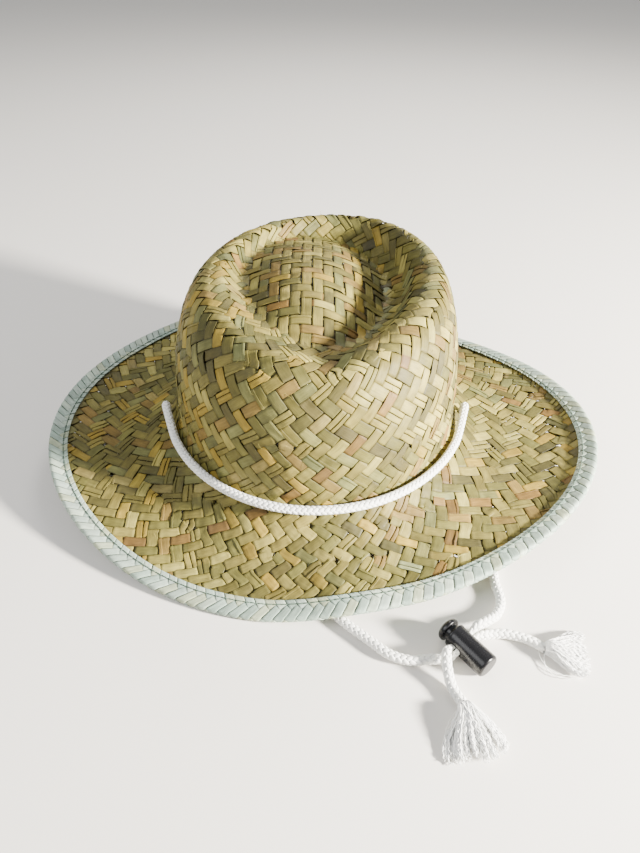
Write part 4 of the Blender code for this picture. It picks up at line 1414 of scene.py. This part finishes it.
def build_sweatband(cloth):
    """A cotton band inside the foot of the crown, and the thread that sews it in."""
    look = cotton_material("sweatband_cloth", (0.62, 0.53, 0.36), 0.9)
    low, high = SWEATBAND_ROWS
    rows = []
    for depth, first, last in ((0.35 * MM, low, high), (1.2 * MM, high, low)):
        for row in np.linspace(first, last, 12):
            middle, normal = cloth.at(COLUMN_TURNS, row)
            rows.append(middle - normal * (PLAIT / 2 + depth))
    rings = np.stack(rows, axis=1)
    rings = np.concatenate([rings, rings[:1]])
    soup = Soup()
    soup.add_rings(rings, run_along(rings[:, 0]), np.ones(3), np.linspace(0, 1, len(rows)))
    place(soup.build("sweatband_cloth", look), "hat", "sweatband_cotton", "sweatband")
    thread = cotton_material("sweatband_stitching", (0.50, 0.42, 0.28), 0.85)
    turn = np.arange(720) * 2 * math.pi / 720
    middle, normal = cloth.at(turn, SWEATBAND_STITCH_ROW)
    depth = PLAIT / 2 + 1.35 * MM + 0.2 * MM * (0.5 + 0.5 * np.cos(turn * 120))
    stitches = thread_ring(middle - normal * depth[:, None], 0.28 * MM, "sweat_stitches", thread)
    place(stitches, "hat", "sweatband_thread", "sweatband_thread")


def band_line(cloth):
    """The held cord: up out of one hole, around the front of the crown, into the other."""
    turn = np.radians(np.arange(-66, 67, 6.0))
    middle, normal = cloth.at(turn, FOOT_ROW + 0.075 * (EDGE_ROW - FOOT_ROW))
    line = middle + normal * (PLAIT / 2 + CORD_RADIUS + 0.55 * MM)
    low = HINGE_HEIGHT + CORD_RADIUS + 0.3 * MM
    ends = []
    for x, side in ((HOLE_LEFT_X, -1), (HOLE_RIGHT_X, 1)):
        moves = ((0, 0, 0), (0, 0, 6), (0, -0.6, 11), (-0.8 * side, -6.5, 16))
        ends.append([np.array([x, HOLE_Y, low]) + np.array(move) * MM for move in moves])
    return ends[0] + list(line) + ends[1][::-1]


def build_cords(cloth):
    """The cord around the crown and its two free ends. Returns the ends with their lines."""
    look = cotton_material("braided_cotton", (0.94, 0.94, 0.91), 0.8)
    band = braid(smooth_route(band_line(cloth)), CORD_RADIUS, "cord_around_crown", look)
    place(band, "hat", "cord_cotton", "chin_cord_band")
    squeeze_at = LOCK_AT + lock_axis() * (SLOT_START + SLOT_END) / 2
    ends = []
    for side, x, route in (
        ("left", HOLE_LEFT_X, LEFT_CORD_ROUTE),
        ("right", HOLE_RIGHT_X, RIGHT_CORD_ROUTE),
    ):
        pivot = np.array([x, HOLE_Y, HINGE_HEIGHT])
        spots = [pivot + np.array([0, 0, 1.8 * MM]), pivot] + [np.array(p) * MM for p in route]
        line = smooth_route(spots)
        away = np.linalg.norm(line - squeeze_at, axis=1)
        loose = np.clip((away - 8.5 * MM) / (5 * MM), 0, 1)
        radius = SQUEEZED_RADIUS + (CORD_RADIUS - SQUEEZED_RADIUS) * loose
        cord = braid(line, radius, "cord_" + side, look)
        place(cord, "chin_loop", "cord_cotton", "chin_cord_" + side)
        ends.append((cord, line + CROWN_AT))
    return ends


def build_tassels():
    """The frayed ends of both cords, with a few threads that loop back beside each."""
    fluff = cotton_material("unravelled_cotton", (0.97, 0.97, 0.96), 0.9)
    front_loops = (
        ((69, -207, 4), (55, -220, 3), (63, -231, 1.2)),
        ((69, -208, 4), (60, -219, 5), (66, -228, 1.5)),
    )
    right_loops = (
        ((119, -176, 2), (112, -192, 1.0), (134, -190, 1)),
        ((116, -175, 2), (115, -188, 1.0), (130, -189, 1)),
    )
    made = []
    for side, route, tip, half_width, loops in (
        ("front", RIGHT_CORD_ROUTE, (76.0, -231.5, 2.9), 15.0 * MM, front_loops),
        ("right", LEFT_CORD_ROUTE, (140.5, -177.0, 2.9), 13.5 * MM, right_loops),
    ):
        piece = tassel("threads_" + side, route, np.array(tip) * MM, half_width, loops, fluff)
        place(piece, "chin_loop", "tassel_cotton", "tassel_" + side)
        made.append(piece)
    return made


def build_camera():
    """Looks at the hat's front from about 40 degrees up, a little to its left."""
    eye = np.array([-0.0008, -0.3650, 0.3092]) + CROWN_AT
    ahead = unit(np.array([0.0081, 0.7709, -0.6369]))
    right = np.array([0.99996, -0.0036, 0.0084])
    right = unit(right - ahead * (right @ ahead))
    up = np.cross(right, ahead)
    data = bpy.data.cameras.new("camera")
    data.lens = 27.88
    data.sensor_width = 36.0
    camera = put("camera", data)
    turn = Matrix((right, up, -ahead)).transposed()
    camera.matrix_world = Matrix.Translation(Vector(eye)) @ turn.to_4x4()
    bpy.context.scene.camera = camera


def build_stage():
    """A pale floor, three soft lights and an even sky."""
    look = Look("pale_floor")
    look.fill(look.shader, {"Base Color": (0.78, 0.75, 0.70, 1.0), "Roughness": 0.6})
    bpy.ops.mesh.primitive_plane_add(size=6.0, location=(0, 0, -0.0002))
    floor = bpy.context.object
    floor.name = "floor"
    floor.data.materials.append(look.made)
    for name, at, size, power, colour in (
        ("key_light", (1.09, -0.49, 0.42), 0.16, 172.0, (1.0, 0.95, 0.86)),
        ("back_light", (0.20, 1.0, 1.0), 0.5, 9.0, (1.0, 0.98, 0.95)),
        ("fill_light", (-1.0, -0.4, 1.1), 1.0, 15.0, (0.98, 0.98, 1.0)),
    ):
        data = bpy.data.lights.new(name, "AREA")
        data.shape = "DISK"
        data.size = size
        data.energy = power
        data.color = colour
        light = put(name, data)
        light.location = at
        aim = Vector((0, -0.02, 0.03)) - Vector(at)
        light.rotation_euler = aim.to_track_quat("-Z", "Y").to_euler()
    world = bpy.data.worlds.new("studio")
    world.use_nodes = True
    sky = world.node_tree.nodes["Background"]
    sky.inputs["Color"].default_value = (0.93, 0.96, 1.0, 1.0)
    sky.inputs["Strength"].default_value = 0.50
    bpy.context.scene.world = world


def main():
    build_camera()
    build_stage()
    cloth = build_plait()
    build_binding(cloth)
    build_sweatband(cloth)
    ends = build_cords(cloth)
    front, right = build_tassels()
    lock = build_lock()


main()
